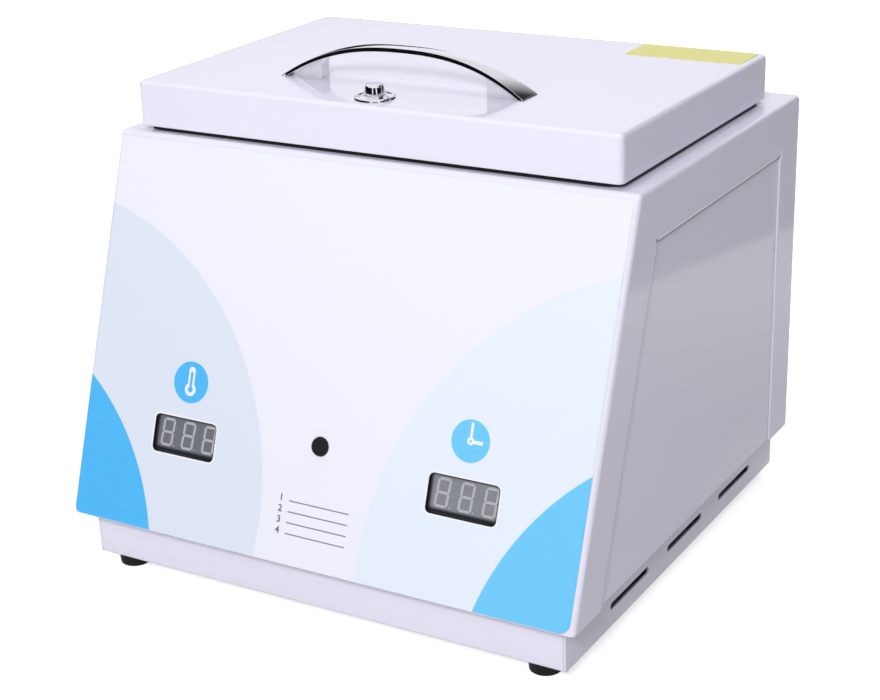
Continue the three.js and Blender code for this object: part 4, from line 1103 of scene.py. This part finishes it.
# %% Fold the tray's long sheet
TRAY_HALF, TRAY_FRONT, TRAY_BACK = 136.5, -128.34, 130.66
TRAY_BOTTOM, TRAY_TOP, TRAY_BEND = 6.0, 40.2, 1.6
WALL_GAP, FOOT_HOLE = 0.12, 2.1
FOOT_PLACES = [(x, y) for x in (-121.4, 121.4) for y in (-118.94, 121.26)]
long_half = TRAY_HALF - SHEET - WALL_GAP
low = TRAY_BOTTOM + TRAY_BEND
profile = [
    Vector((TRAY_FRONT, TRAY_TOP)),
    *arc((TRAY_FRONT + TRAY_BEND, low), TRAY_BEND, math.pi, 1.5 * math.pi),
    *arc((TRAY_BACK - TRAY_BEND, low), TRAY_BEND, 1.5 * math.pi, 2 * math.pi),
    Vector((TRAY_BACK, TRAY_TOP)),
]
pairs = [side_to_side(long_half, p) for p in profile]
floor_start = 1 + BEND_STEPS
tray = Skin()
tray.bend(pairs[:floor_start + 1])
tray.bend(pairs[floor_start + 1:-1])
tray.plate(
    rectangle(long_half, *profile[floor_start:floor_start + 2]),
    *[at_z(TRAY_BOTTOM, ring(FOOT_HOLE, place, SMALL_STEPS)) for place in FOOT_PLACES],
)
tray.plate(rectangle(long_half, *profile[-2:]), *[at_y(TRAY_BACK, hole) for hole in screw_holes])
tray_parts = [soften(tray.piece("tray_pan", (0, 0, -900)), SHEET, 0.2)]
print("long sheet half width", round(long_half, 2), "mm")

# %% Cut the tray's side walls and join the tray
SLOT_SIZE, SLOT_PITCH, SLOT_MIDDLE = (44.1, 3.5), 67.2, (8.86, 16.7)
WING_OUT, WING_TOP, WING_ENDS = 142.3, 51.0, (-91.0, 108.9)
slot_middles = [(SLOT_MIDDLE[0] + k * SLOT_PITCH, SLOT_MIDDLE[1]) for k in (-1, 0, 1)]
slots = [round_rectangle(*SLOT_SIZE, SLOT_SIZE[1] / 2, middle, 8) for middle in slot_middles]
wall_outline = round_rectangle(
    TRAY_BACK - TRAY_FRONT, TRAY_TOP - TRAY_BOTTOM, 1.2,
    ((TRAY_FRONT + TRAY_BACK) / 2, (TRAY_TOP + TRAY_BOTTOM) / 2),
)
wing = [(TRAY_HALF - SHEET / 2, TRAY_TOP), (WING_OUT, TRAY_TOP), (WING_OUT, WING_TOP)]


def join(name, things):
    """Makes one object of several plain meshes, all at rest in the model's frame."""
    whole = bmesh.new()
    for thing in things:
        whole.from_mesh(thing.data)
        bpy.data.objects.remove(thing)
    return object_from(name, whole)


for side in (-1, 1):
    wall = Skin()
    wall.plate(*[at_x(side * TRAY_HALF, loop) for loop in (wall_outline, *slots)])
    wall.bend([[(side * x, y, z) for y in WING_ENDS] for x, z in wing])
    tray_parts.append(soften(wall.piece(f"tray_wall_{side}", (side * 900, 0, 20)), SHEET, 0.25))
dress(soften(join("tray_sheet", tray_parts)), "cabinet", "white_paint", "base_tray")

# %% [markdown]
# ## Label film
# The film covers the slanted front from edge to edge. On its left side it laps onto the round
# bend, which is why the print runs out of sight there. All four of its corners are round.

# %% Lay the label on the front
FILM_OUT, FILM = 0.28, 0.2
FOOT_CORNER, HEAD_CORNER, LEFT_FOOT, LEFT_HEAD = 5.5, 3.0, 4.4, 1.6
FILM_WRAP, CUT_STEPS = math.radians(44), 5
film_left, film_right = -flat_half, 142.4
film_foot, film_head = 0.4, (path[1] - path[0]).length - 0.6
reach = SIDE_BEND + FILM_OUT
film_end = film_left - reach * math.sin(FILM_WRAP)


def left_cut(x, radius):
    """How far the film's left corner has rounded off at a place across."""
    inside = min(max(film_end + radius - x, 0.0), radius)
    return radius - math.sqrt(radius * radius - inside * inside)


cut_length = film_end + LEFT_FOOT - film_left
cut_places = [film_left + cut_length * i / CUT_STEPS for i in range(CUT_STEPS + 1)]
film_outline = [
    *((x, film_foot + left_cut(x, LEFT_FOOT)) for x in cut_places),
    *arc((film_right - FOOT_CORNER, film_foot + FOOT_CORNER), FOOT_CORNER, -math.pi / 2, 0),
    *arc((film_right - HEAD_CORNER, film_head - HEAD_CORNER), HEAD_CORNER, 0, math.pi / 2),
    (film_left, film_head - left_cut(film_left, LEFT_HEAD)),
]
film = Skin()
film.plate(
    [on_panel(*p, FILM_OUT) for p in film_outline],
    *[window(middle, RIM + 0.05, FILM_OUT) for middle in WINDOW_MIDDLES],
    [on_panel(*p, FILM_OUT) for p in button_ring],
)
rows = []
for step in range(BEND_STEPS + 1):
    angle = FILM_WRAP * step / BEND_STEPS
    x, out = film_left - reach * math.sin(angle), reach * math.cos(angle) - SIDE_BEND
    foot, head = film_foot + left_cut(x, LEFT_FOOT), film_head - left_cut(x, LEFT_HEAD)
    rows.append([on_panel(x, foot, out), on_panel(x, head, out)])
film.bend(rows)
label_film = soften(film.piece("label_print", (0, -900, 400)), FILM, 0.06)
dress(label_film, "cabinet", "label_film", "front_label")

# %% [markdown]
# ## Displays
# Each display is a black case whose rim lines the window; its smoked face sits about two
# millimetres back, so the rim's inner wall shows dark on the left. The case is a stack of
# outlines, from the face's edge up the wall, over the rim and down behind the sheet.

# %% Build the two display cases
FACE_OUT, CASE_FRONT, CASE_BACK = -1.6, -1.5, -7.5
CASE_SIZE, RIM_SLANT = (50.3, 23.0), 0.12


def display_case(name, middle, node):
    """A case behind one window, with its face in a finish of its own."""
    rim_levels = (
        (0, FACE_OUT), (0, FILM_OUT - RIM_SLANT), (0.1, FILM_OUT),
        (RIM - 0.1, FILM_OUT), (RIM, FILM_OUT - RIM_SLANT), (RIM, CASE_FRONT),
    )
    body = round_rectangle(*CASE_SIZE, 1.0, middle)
    rows = [window(middle, grow, out) for grow, out in rim_levels]
    rows += [[on_panel(*p, out) for p in body] for out in (CASE_FRONT, CASE_BACK)]
    case = Skin()
    case.bend(rows, closed=True)
    case.plate(rows[0])
    case.plate(rows[-1])
    thing = soften(case.piece(name))
    for finish in ("display_plastic", "display_face"):
        thing.data.materials.append(FINISHES[finish])
    normal = on_panel(0, 0, 1) - on_panel(0, 0, 0)
    face_level = on_panel(*middle, FACE_OUT) * MM
    for face in thing.data.polygons:
        face.use_smooth = False
        level = abs((face.center - face_level).dot(normal)) < SAME_SPOT
        face.material_index = int(level and face.normal.dot(normal) > 0.99)
    dress(thing, "cabinet", "display_plastic", node, finish=False)


display_case("temperature_window", WINDOW_MIDDLES[0], "temperature_display")
display_case("timer_window", WINDOW_MIDDLES[1], "timer_display")

# %% [markdown]
# ### Digits
# Every digit is seven bars with pointed ends, and there are six digits. That is what Geometry Nodes
# are for: one bar, seven places with a quarter turn or none, three digits in a row, and a slant.
# The decimal points are small discs after each digit.

# %% Prepare to write trees of Geometry Nodes
NGON = {"fill_type": "NGON"}


class Tree(Recipe):
    """A Geometry Nodes tree with named number inputs, which are its sizes."""

    def __init__(self, name, *sizes):
        super().__init__(bpy.data.node_groups.new(name, "GeometryNodeTree"))
        self.add_socket("Geometry", "Geometry")
        for title in sizes:
            self.add_socket(title, "Float")
        self.add_socket("Material", "Material")
        self.add_socket("Geometry", "Geometry", "OUTPUT")
        entry = self.tree.nodes.new("NodeGroupInput")
        self.size = {s.name: Wire(self.tree, s) for s in entry.outputs if s.name}

    def add_socket(self, title, kind, way="INPUT"):
        self.tree.interface.new_socket(title, in_out=way, socket_type=f"NodeSocket{kind}")

    def position(self):
        """X, Y and Z of each point of the shape that is being made."""
        return self.parts(self.node("GeometryNodeInputPosition"))

    def vector(self, x=0.0, y=0.0, z=0.0):
        return self.node("ShaderNodeCombineXYZ", inputs={0: x, 1: y, 2: z})

    def reshaped(self, geometry, **places):
        """Moves points to a Position, or by an Offset."""
        return self.node("GeometryNodeSetPosition", inputs={"Geometry": geometry, **places})

    def shifted(self, geometry, x=0.0, y=0.0, z=0.0, turn=0.0):
        """Moves a whole shape, and turns it about its upright axis."""
        places = {"Translation": self.vector(x, y, z), "Rotation": self.vector(z=turn)}
        return self.node("GeometryNodeTransform", inputs={"Geometry": geometry, **places})

    def cylinder(self, vertices, radius, depth, middle=0.0):
        """An upright cylinder whose middle is at a height."""
        inputs = {"Vertices": vertices, "Radius": radius, "Depth": depth}
        return self.shifted(self.node("GeometryNodeMeshCylinder", NGON, inputs), z=middle)

    def with_all(self, kind, socket, pieces, settings=None, inputs=None):
        """A node whose one socket takes several pieces."""
        made = self.node(kind, settings, inputs)
        for piece in pieces:
            feed(self.tree, made.socket.node.inputs[socket], piece)
        return made

    def on_points(self, instance, **more):
        """One copy on every point of the object that the tree runs on."""
        mesh = {"Mesh": self.size["Geometry"], "Radius": MM}
        points = self.node("GeometryNodeMeshToPoints", inputs=mesh)
        inputs = {"Points": points, "Instance": instance, **more}
        return self.node("GeometryNodeInstanceOnPoints", inputs=inputs)

    def close(self, geometry):
        """Ends the tree with real geometry and its material."""
        real = self.node("GeometryNodeRealizeInstances", inputs={0: geometry})
        inputs = {"Geometry": real, "Material": self.size["Material"]}
        dressed = self.node("GeometryNodeSetMaterial", inputs=inputs)
        feed(self.tree, self.tree.nodes.new("NodeGroupOutput").inputs[0], dressed)
        print(self.tree.name, "nodes", len(self.tree.nodes))


print("tree helpers", len([name for name in vars(Tree) if not name.startswith("_")]))

# %% Run a tree and keep its mesh
def grown(plan, name, points, material, lengths, numbers=None):
    """The plain mesh that a tree makes on points. Lengths are in millimetres."""
    values = {key: float(value * MM) for key, value in lengths.items()}
    values.update(numbers or {}, Material=FINISHES[material])
    thing = mesh_thing(name, [Vector(p) * MM for p in points], [])
    nodes = thing.modifiers.new("nodes", "NODES")
    nodes.node_group = plan.tree
    for item in plan.tree.interface.items_tree:
        if item.in_out == "INPUT" and item.name in values:
            nodes[item.identifier] = values[item.name]
    return settle(thing)


print("ready to grow pieces")

# %% Write a tree for three seven-bar digits
digits = Tree("seven_bar_digits", "Height", "Width", "Bar", "Gap", "Pitch", "Slant", "Dot")
size = digits.size
long_bar = size["Height"] * 0.5 - size["Bar"] * 0.5 - size["Gap"]
flat_bar = size["Width"] - size["Bar"] - size["Gap"]
half_wide = (size["Width"] - size["Bar"]) * 0.5
quarter_up = (size["Height"] - size["Bar"]) * 0.25


def bar(length, x, y, stands):
    """One bar with pointed ends, laid or stood at its place in the digit."""
    body = digits.node("GeometryNodeMeshCircle", NGON, {"Vertices": 6, "Radius": 1.0})
    px, py, _ = digits.position()
    side = (abs(px) * -4.0 + 3.0).share()
    reach = length * 0.5 - size["Bar"] * 0.5 * side
    along = maths(digits.tree, "SIGN", px) * reach
    over = maths(digits.tree, "SIGN", py) * size["Bar"] * 0.5 * side
    if stands:
        along, over = over * -1.0, along
    return digits.reshaped(body, Position=digits.vector(along + x, over + y))


bars = [bar(flat_bar, 0.0, level * quarter_up * 2.0, False) for level in (-1.0, 0.0, 1.0)]
bars += [
    bar(long_bar, half_wide * sx, quarter_up * sy, True) for sx in (-1.0, 1.0) for sy in (-1.0, 1.0)
]
dot = digits.node("GeometryNodeMeshCircle", NGON, {"Vertices": 16, "Radius": size["Dot"]})
bars.append(digits.shifted(dot, half_wide + size["Bar"] * 1.35, quarter_up * -2.0))
digit = digits.with_all("GeometryNodeJoinGeometry", 0, reversed(bars))
lean_in = digits.position()[1] * size["Slant"]
slanted = digits.reshaped(digit, Offset=digits.vector(lean_in))
row = digits.node("GeometryNodeMeshLine", inputs={
    "Count": 3, "Start Location": digits.vector(size["Pitch"] * -1.0),
    "Offset": digits.vector(size["Pitch"]),
})
inputs = {"Points": row, "Instance": slanted}
digits.close(digits.node("GeometryNodeInstanceOnPoints", inputs=inputs))

# %% Set the digits on the faces
DIGIT_SHIFT, DIGIT_LIFT = 1.2, 0.9
DIGIT = {"Height": 14.3, "Width": 7.4, "Bar": 1.25, "Gap": 0.14, "Pitch": 12.7, "Dot": 0.42}


def lay_on_panel(thing, x, s, out):
    """Moves a piece drawn flat at the origin onto the slanted front."""
    tilt = Matrix.Rotation(math.pi / 2 - LEAN, 4, "X")
    thing.data.transform(Matrix.Translation(on_panel(x, s, out) * MM) @ tilt)
    return thing


for (x, up), name in zip(WINDOW_MIDDLES, ("temperature", "timer")):
    readout = grown(digits, f"{name}_digits", [], "segment", DIGIT, {"Slant": 0.07})
    lay_on_panel(readout, x + DIGIT_SHIFT, up + DIGIT_LIFT, FACE_OUT + 0.04)
    dress(readout, "cabinet", "display_plastic", finish="segment")

# %% [markdown]
# ## Turned pieces
# The button and the latch are turned shapes: an outline of radius and height, spun round an axis.
# Spinning in code keeps the pole as one point, so no hole is left at the centre.

# %% Spin outlines into turned pieces
def turned(name, outline, to_point, steps=64):
    """Spins an outline of (radius, height); a radius of zero closes to a point."""
    skin, rows = Skin(), []
    for radius, height in outline:
        spots = ring(radius, steps=steps) if radius else [(0, 0)]
        rows.append([skin.mesh.verts.new(to_point(x, y, height)) for x, y in spots])
    for low, high in zip(rows, rows[1:]):
        for i in range(steps):
            j = (i + 1) % steps
            corners = [row[k % len(row)] for row, k in ((low, i), (low, j), (high, j), (high, i))]
            skin.mesh.faces.new(list(dict.fromkeys(corners)))
    return skin.piece(name)


def soft_corner(start, corner, end, steps):
    """Points of a curve that leaves start towards a corner and arrives at end."""
    shares = (step / steps for step in range(steps + 1))
    return [start * (1 - t) ** 2 + corner * (2 * t * (1 - t)) + end * t ** 2 for t in shares]


def rounded(outline, radius, steps=3):
    """Rounds every corner of an outline of radius and height, where there is room."""
    points = [Vector(p) for p in outline]
    result = [outline[0]]
    for before, corner, after in zip(points, points[1:], points[2:]):
        back, onward = before - corner, after - corner
        room = min(radius, back.length * 0.45, onward.length * 0.45)
        start, end = (corner + way.normalized() * room for way in (back, onward))
        result += soft_corner(start, corner, end, steps)
    return [*result, outline[-1]]


print("turning tools ready")

# %% Turn the program button
def button_place(x, y, height):
    return on_panel(PANEL_MIDDLE + x, BUTTON_UP + y, height)


cap_outline = rounded([
    (0, -3.0), (1.8, -3.0), (1.8, -2.4), (6.2, -2.4), (6.2, -1.5), (4.6, -1.5), (4.6, 1.2),
    (3.9, 1.3), (0, 1.3),
], 0.35)
program_cap = soften(turned("program_cap", cap_outline, button_place))
dress(program_cap, "button", "black_plastic", "program_button")

# %% Turn the latch
def latch_place(x, y, height):
    return Vector((LATCH[0] + x, LATCH[1] + y, LID_TOP + height))


latch_ring = rounded([
    (5.2, -5.2), (7.0, -5.2), (7.0, 0.0), (10.1, 0.0), (9.75, 1.15), (9.2, 1.45), (8.6, 1.4),
    (7.0, 1.7), (6.4, 1.85), (5.5, 1.85), (5.2, 1.5), (5.2, -5.2),
], 0.2)
flange = soften(turned("latch_collar", latch_ring, latch_place))
dress(flange, "lid", "chrome", "latch_flange")

pin_foot = HOOD_TOP - LID_TOP - 2.3
latch_pin = rounded([
    (0, pin_foot), (2.0, pin_foot), (2.0, -7.5), (6.2, -7.5), (6.2, -5.5), (5.05, -5.5),
    (5.05, 1.8), (4.95, 3.3), (4.7, 4.8), (4.4, 6.1), (4.1, 6.7), (3.4, 7.0), (0, 6.85),
], 0.45)
knob = soften(turned("latch_knob", latch_pin, latch_place))
dress(knob, "latch", "chrome", "latch_button")

# %% [markdown]
# ## Bow handle
# The handle is a cast strip that arches from tip to tip and widens towards both ends, on two wedge
# legs. Its shape follows a rule, so Geometry Nodes bend a finely divided block: a height that falls
# off with a power of the distance from the middle, and a width that grows with its square.

# %% Write a tree for the bowed strip
bow = Tree(
    "bowed_strip", "Half length", "Rise", "Tip", "Strip", "Middle width", "End width", "Power",
    "Crown", "Draft",
)
rule = bow.size
blank = bow.node("GeometryNodeMeshCube", inputs={
    "Size": (2.0, 1.0, 1.0), "Vertices X": 97, "Vertices Y": 7, "Vertices Z": 3,
})
px, py, pz = bow.position()
arch = (1.0 - abs(px) ** rule["Power"]) * (rule["Rise"] - rule["Tip"]) + rule["Tip"]
arch = arch - py * py * 4.0 * rule["Crown"] * (pz + 0.5)
upper = pz.at_least(0.0)
level = (pz + 0.5) * 0.3 + upper * 1.4
height = (arch - (1.0 - level) * rule["Strip"]).at_least(0.0)
draft = upper * 2.0 * rule["Draft"]
width = px * px * (rule["End width"] - rule["Middle width"]) + rule["Middle width"] - draft * 2.0
length = rule["Half length"] - draft
bow.close(bow.reshaped(blank, Position=bow.vector(px * length, py * width, height)))

# %% Cast the handle with its legs
HANDLE_MIDDLE = Vector((-2.5, -21.84, LID_TOP))
HALF_LENGTH, RISE, STRIP_THICK, POWER, TIP = 68.6, 18.8, 2.4, 2.49, 0.9
LEG_INNER, LEG_REACH, LEG_DEPTH, LEG_FILLET = 47.0, 66.0, 7.0, 4.5
LEG_STEP, LEG_POINTS = 2.3, 9


def arch_under(x):
    """The strip's underside above the lid, at a distance from the middle."""
    top = TIP + (RISE - TIP) * (1 - (abs(x) / HALF_LENGTH) ** POWER)
    return max(top - STRIP_THICK * 0.6, 0.05)


strip = grown(bow, "strip", [], "chrome", {
    "Half length": HALF_LENGTH, "Rise": RISE, "Tip": TIP, "Strip": STRIP_THICK,
    "Middle width": 8.2, "End width": 15.6, "Crown": 0.2, "Draft": 0.38,
}, {"Power": POWER})
strip.data.transform(Matrix.Translation(HANDLE_MIDDLE * MM))
strip.data.materials.clear()
castings = [soften(strip, edge=0.12, angle=14)]
start, corner = (Vector((x, arch_under(x))) for x in (LEG_INNER - LEG_FILLET, LEG_INNER))
leg_outline = [
    (LEG_INNER, 0.0), (LEG_REACH, 0.0),
    *((x, arch_under(x)) for x in (LEG_REACH - i * LEG_STEP for i in range(LEG_POINTS))),
    *soft_corner(start, corner, corner - Vector((0, LEG_FILLET)), 8),
]
for end in (-1, 1):
    leg = Skin()
    fronts = [
        [HANDLE_MIDDLE + Vector((end * x, depth * LEG_DEPTH / 2, z)) for x, z in leg_outline]
        for depth in (-1, 1)
    ]
    leg.bend(fronts, closed=True)
    for front in fronts:
        leg.plate(front)
    foot = soften(leg.piece(f"leg_{end}"), edge=0.8, angle=35, segments=4, held=True)
    for face in foot.data.polygons:
        face.material_index = 1
    castings.append(foot)
handle = join("bow_handle", castings)
for finish in ("chrome", "satin_chrome"):
    handle.data.materials.append(FINISHES[finish])
dress(soften(handle), "lid", "chrome", "lid_handle", finish=False)

# %% [markdown]
# ## Gasket
# Under the lid runs a black silicone cord that bulges where the lid presses it. A curve with a
# round profile would come close, but the pressed cord isn't round, so its own section is carried
# round the lid's outline.

# %% Lay the gasket
GASKET_WIDTH, GASKET_CORNER, LEAST_CORNER = 6.0, 8.0, 1.5
BULGE, PRESSED, CORD_ROUND = 1.3, 0.7, 0.8
gasket_low, _, gasket_middle, gasket_size = part_box("lid_gasket")
tall = gasket_size[2] - PRESSED
section = round_rectangle(
    GASKET_WIDTH + BULGE, tall, CORD_ROUND,
    ((GASKET_WIDTH - BULGE) / 2, gasket_low.z + tall / 2), 4,
)
rows = []
for inset, z in section:
    corner = max(GASKET_CORNER - inset, LEAST_CORNER)
    rows.append(shrunk(gasket_size, corner + inset, gasket_middle, inset, z, 8))
gasket = Skin()
gasket.bend([*rows, rows[0]], closed=True)
dress(soften(gasket.piece("gasket_cord")), "lid", "silicone", "lid_gasket")

# %% [markdown]
# ## Numbers of the program list
# Below the button stands a short list: four ruled rows with plain numbers. The numbers could be
# drawn from bars like the displays' own, but printed type has round strokes. So a text object is
# made a mesh first and only then laid on the slanted front.

# %% Print the row numbers
NUMBER_HEIGHT, NUMBER_PLACE, NUMBER_LIFT, STROKE = 4.8, -18.8, 0.9, 0.13


def printed_number(text, up):
    curve = bpy.data.curves.new(f"word_{text}", "FONT")
    curve.body, curve.align_x, curve.align_y = text, "CENTER", "CENTER"
    curve.size, curve.offset = NUMBER_HEIGHT * MM, STROKE * MM
    letters = add_object(f"word_{text}", curve)
    bpy.context.view_layer.update()
    flat = add_object(f"number_{text}", bpy.data.meshes.new_from_object(letters))
    bpy.data.objects.remove(letters)
    return lay_on_panel(flat, NUMBER_PLACE, up + NUMBER_LIFT, FILM_OUT + 0.02)


numbers = [printed_number(str(i + 1), up) for i, up in enumerate(LIST_ROWS)]
dress(join("program_numbers", numbers), "cabinet", "label_film", finish="mark_grey")

# %% [markdown]
# ## Screws
# Pan head screws hold the hood and the inlet at the back, and one sits in each foot. They are alike
# but for their size, so one Geometry Nodes tree makes a domed head with a cross recess, puts one on
# every point and turns each a little differently, as a hand on a screwdriver would.

# %% Write a tree for pan head screws
SCREW_SIZES = ("Head radius", "Head height", "Shank radius", "Shank length")
screws = Tree("pan_head_screws", *SCREW_SIZES)
wide, high, thin, long = (screws.size[name] for name in SCREW_SIZES)
blank = screws.node("GeometryNodeMeshCylinder", NGON, {
    "Vertices": 32, "Fill Segments": 5, "Radius": wide, "Depth": high,
})
px, py, pz = screws.position()
from_axis = (px * px + py * py) / (wide ** 2.0)
domed = (pz + high * 0.5) * (1.0 - from_axis * 0.5)
head = screws.reshaped(blank, Position=screws.vector(px, py, domed))
blade_size = {"Size": screws.vector(wide * 1.1, wide * 0.24, high)}
blades = [
    screws.shifted(screws.node("GeometryNodeMeshCube", inputs=blade_size), z=high, turn=turned_by)
    for turned_by in (0.0, math.pi / 2)
]
CUT = {"operation": "DIFFERENCE"}
recess = screws.with_all("GeometryNodeMeshBoolean", 1, blades, CUT, {0: head})
shank = screws.cylinder(24, thin, long, long * -0.5)
whole = screws.with_all("GeometryNodeJoinGeometry", 0, (recess, shank))
chance = {"Min": 0.0, "Max": 3.1, "Seed": 7}
spin = screws.node("FunctionNodeRandomValue", {"data_type": "FLOAT"}, chance, output=1)
screws.close(screws.on_points(whole, Rotation=screws.vector(z=spin)))

# %% Drive the screws in
def drive_screws(name, places, way, sizes, nodes):
    """Places are points on the seat; way turns the screws' axis from up to its real direction."""
    seats = [way.inverted() @ Vector(p) for p in places]
    thing = grown(screws, name, seats, "zinc", sizes)
    thing.data.transform(way.to_4x4())
    dress(soften(thing, edge=0.12, angle=50, held=True), "cabinet", "zinc", *nodes)


to_back, to_floor = Matrix.Rotation(-math.pi / 2, 3, "X"), Matrix.Rotation(math.pi, 3, "X")
INLET_FACE, FOOT_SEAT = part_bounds("mains_inlet")[1].y * 1000, 2.5
small, large = (dict(zip(SCREW_SIZES, s)) for s in ((2.8, 1.5, 1.4, 6.0), (3.8, 1.6, 2.0, 8.6)))
hood_places = at_y(HOOD_BACK, [(x, SCREW_Z) for x in (-SCREW_X, SCREW_X)])
inlet_places = at_y(INLET_FACE, [(x, FITTINGS_Z) for x in INLET_SCREWS])
for name, places, way, sizes in (
    ("hood_screw", hood_places, to_back, small),
    ("inlet_screw", inlet_places, to_back, small),
    ("foot_screw", at_z(FOOT_SEAT, FOOT_PLACES), to_floor, large),
):
    drive_screws(f"{name}s", places, way, sizes, [f"{name}_{i + 1}" for i in range(len(places))])

# %% [markdown]
# ## Feet
# Four rubber feet carry the tray. Each is a short tapered block with a deep round recess for its
# screw. The tree tapers a cylinder, cuts the recess and the hole, and puts one on each point.

# %% Mould the feet
feet = Tree(
    "tapered_feet", "Radius", "Height", "Taper", "Recess radius", "Recess depth", "Hole radius"
)
size = feet.size
block = feet.cylinder(64, size["Radius"], size["Height"], size["Height"] * 0.5)
px, py, pz = feet.position()
shrink = 1.0 - size["Taper"] / size["Radius"] * (1.0 - pz / size["Height"])
tapered = feet.reshaped(block, Position=feet.vector(px * shrink, py * shrink, pz))
borings = (
    feet.cylinder(64, size["Recess radius"], size["Recess depth"] * 2.0),
    feet.cylinder(64, size["Hole radius"], size["Height"] * 3.0),
)
feet.close(feet.on_points(feet.with_all("GeometryNodeMeshBoolean", 1, borings, CUT, {0: tapered})))
feet_set = grown(feet, "rubber_feet", at_z(0, FOOT_PLACES), "rubber", {
    "Radius": 8.4, "Height": 6.0, "Taper": 0.5, "Recess radius": 4.6, "Recess depth": 2.6,
    "Hole radius": FOOT_HOLE,
})
feet_set = soften(feet_set, edge=0.6, angle=50, segments=3, held=True)
dress(feet_set, "cabinet", "rubber", *[f"foot_{i}" for i in range(1, 5)])

# %% [markdown]
# ## Chamber
# The pot is deep drawn from thin stainless sheet: a flat rim, a soft lip, straight walls and a wide
# round where they meet the bottom. Outlines are stacked from the rim down, then given thickness.

# %% Draw the pot
POT_RIM, POT_TOP, POT_FLOOR, POT_WALL = 6.0, 219.6, 120.0, 0.8
LIP, LIP_STEPS, BOTTOM_ROUND = 1.6, 6, 9.0
bottom = POT_FLOOR + POT_WALL
steps_down = [(-POT_RIM, POT_TOP)]
steps_down += [
    (POT_WALL - LIP * (1 - sine), POT_TOP - LIP * (1 - cosine))
    for sine, cosine in quarter(LIP_STEPS)
]
steps_down += [
    (POT_WALL + BOTTOM_ROUND * (1 - cosine), bottom + BOTTOM_ROUND * (1 - sine))
    for sine, cosine in quarter()
]
rows = [shrunk(POT_SIZE, POT_CORNER, POT_MIDDLE, inset, z, 8) for inset, z in steps_down]
pot = Skin()
pot.bend(rows, closed=True)
pot.plate(rows[-1])
pot_sheet = soften(pot.piece("drawn_pot", (0, 0, 900)), POT_WALL, 0.2)
dress(pot_sheet, "cabinet", "steel", "chamber")

# %% [markdown]
# ## Small parts from the model
# Hinges, inlet, fuse holder, switch and latch keeper already have the right shape. A copy of each
# is merged, because the model's triangles are loose, and its edges are rounded so that they catch
# light.

# %% Round the edges of small parts
def with_round_edges(node, body, edge):
    """A copy of a model part with soft edges, in the part's place."""
    source = frame["nodes"][node]
    slot = source.data.materials[0].name.split(".")[0]
    shape = bmesh.new()
    shape.from_mesh(source.data)
    bmesh.ops.remove_doubles(shape, verts=shape.verts, dist=1e-6)
    flat = {"angle_limit": math.radians(0.5), "verts": shape.verts, "edges": shape.edges}
    bmesh.ops.dissolve_limit(shape, **flat)
    thing = soften(object_from(f"{node}_soft", shape), edge=edge, angle=35, held=True)
    dress(thing, body, slot, node)


for node, body, edge in (
    ("hinge_base_left", "cabinet", 0.3), ("hinge_base_right", "cabinet", 0.3),
    ("hinge_lid_left", "lid", 0.3), ("hinge_lid_right", "lid", 0.3),
    ("mains_inlet", "cabinet", 0.35), ("power_switch_frame", "cabinet", 0.35),
    ("fuse_holder", "cabinet", 0.4), ("power_rocker", "rocker", 0.4),
    ("latch_keeper", "cabinet", 0.3),
):
    with_round_edges(node, body, edge)

# %% [markdown]
# ## Marks on the rocker
# A mains rocker carries a bar on its on side and a ring on its off side. Both are flat prints, so
# the face's place and tilt are read from the model's own faces and the marks are laid on it.

# %% Print the bar and the ring
BAR_MARK = ((-0.3, 2.6), (0.3, 2.6), (0.3, 5.0), (-0.3, 5.0))
RING_STEPS, RING_DROP, RING_RADII, INK_OUT = 32, 3.8, (0.95, 1.4), 0.03
outer = [f for f in frame["nodes"]["power_rocker"].data.polygons if f.normal.y > 0.9]
rocker_normal = sum((f.normal * f.area for f in outer), Vector()).normalized()
rocker_middle = sum((f.center * f.area for f in outer), Vector()) / sum(f.area for f in outer)
climb = rocker_normal.cross(Vector((-1, 0, 0))).normalized()
if climb.z < 0:
    climb = -climb


def on_rocker(x, t):
    return rocker_middle + (Vector((-x, 0, 0)) + climb * t + rocker_normal * INK_OUT) * MM


bar_mark = mesh_thing("on_bar", [on_rocker(x, t) for x, t in BAR_MARK], [(0, 1, 2, 3)])
rims = [ring(radius, (0, -RING_DROP), RING_STEPS) for radius in RING_RADII]
quads = [
    (i, (i + 1) % RING_STEPS, RING_STEPS + (i + 1) % RING_STEPS, RING_STEPS + i)
    for i in range(RING_STEPS)
]
ring_mark = mesh_thing("off_ring", [on_rocker(x, t) for rim in rims for x, t in rim], quads)
marks = join("rocker_marks", [bar_mark, ring_mark])
dress(marks, "rocker", "black_plastic", finish="mark_white")

# %% [markdown]
# ## What the model already shows well
# The boards, the insulation, the sticker and a few more keep the model's own solids and only get
# their finish.

# %% Give the remaining solids their finishes
for name, node in frame["nodes"].items():
    if not node.hide_render:
        for slot in node.material_slots:
            slot.material = FINISHES[slot.material.name.split(".")[0]]
print("dressed nodes", sum(not n.hide_render for n in frame["nodes"].values()))

# %% Update the scene
bpy.context.view_layer.update()
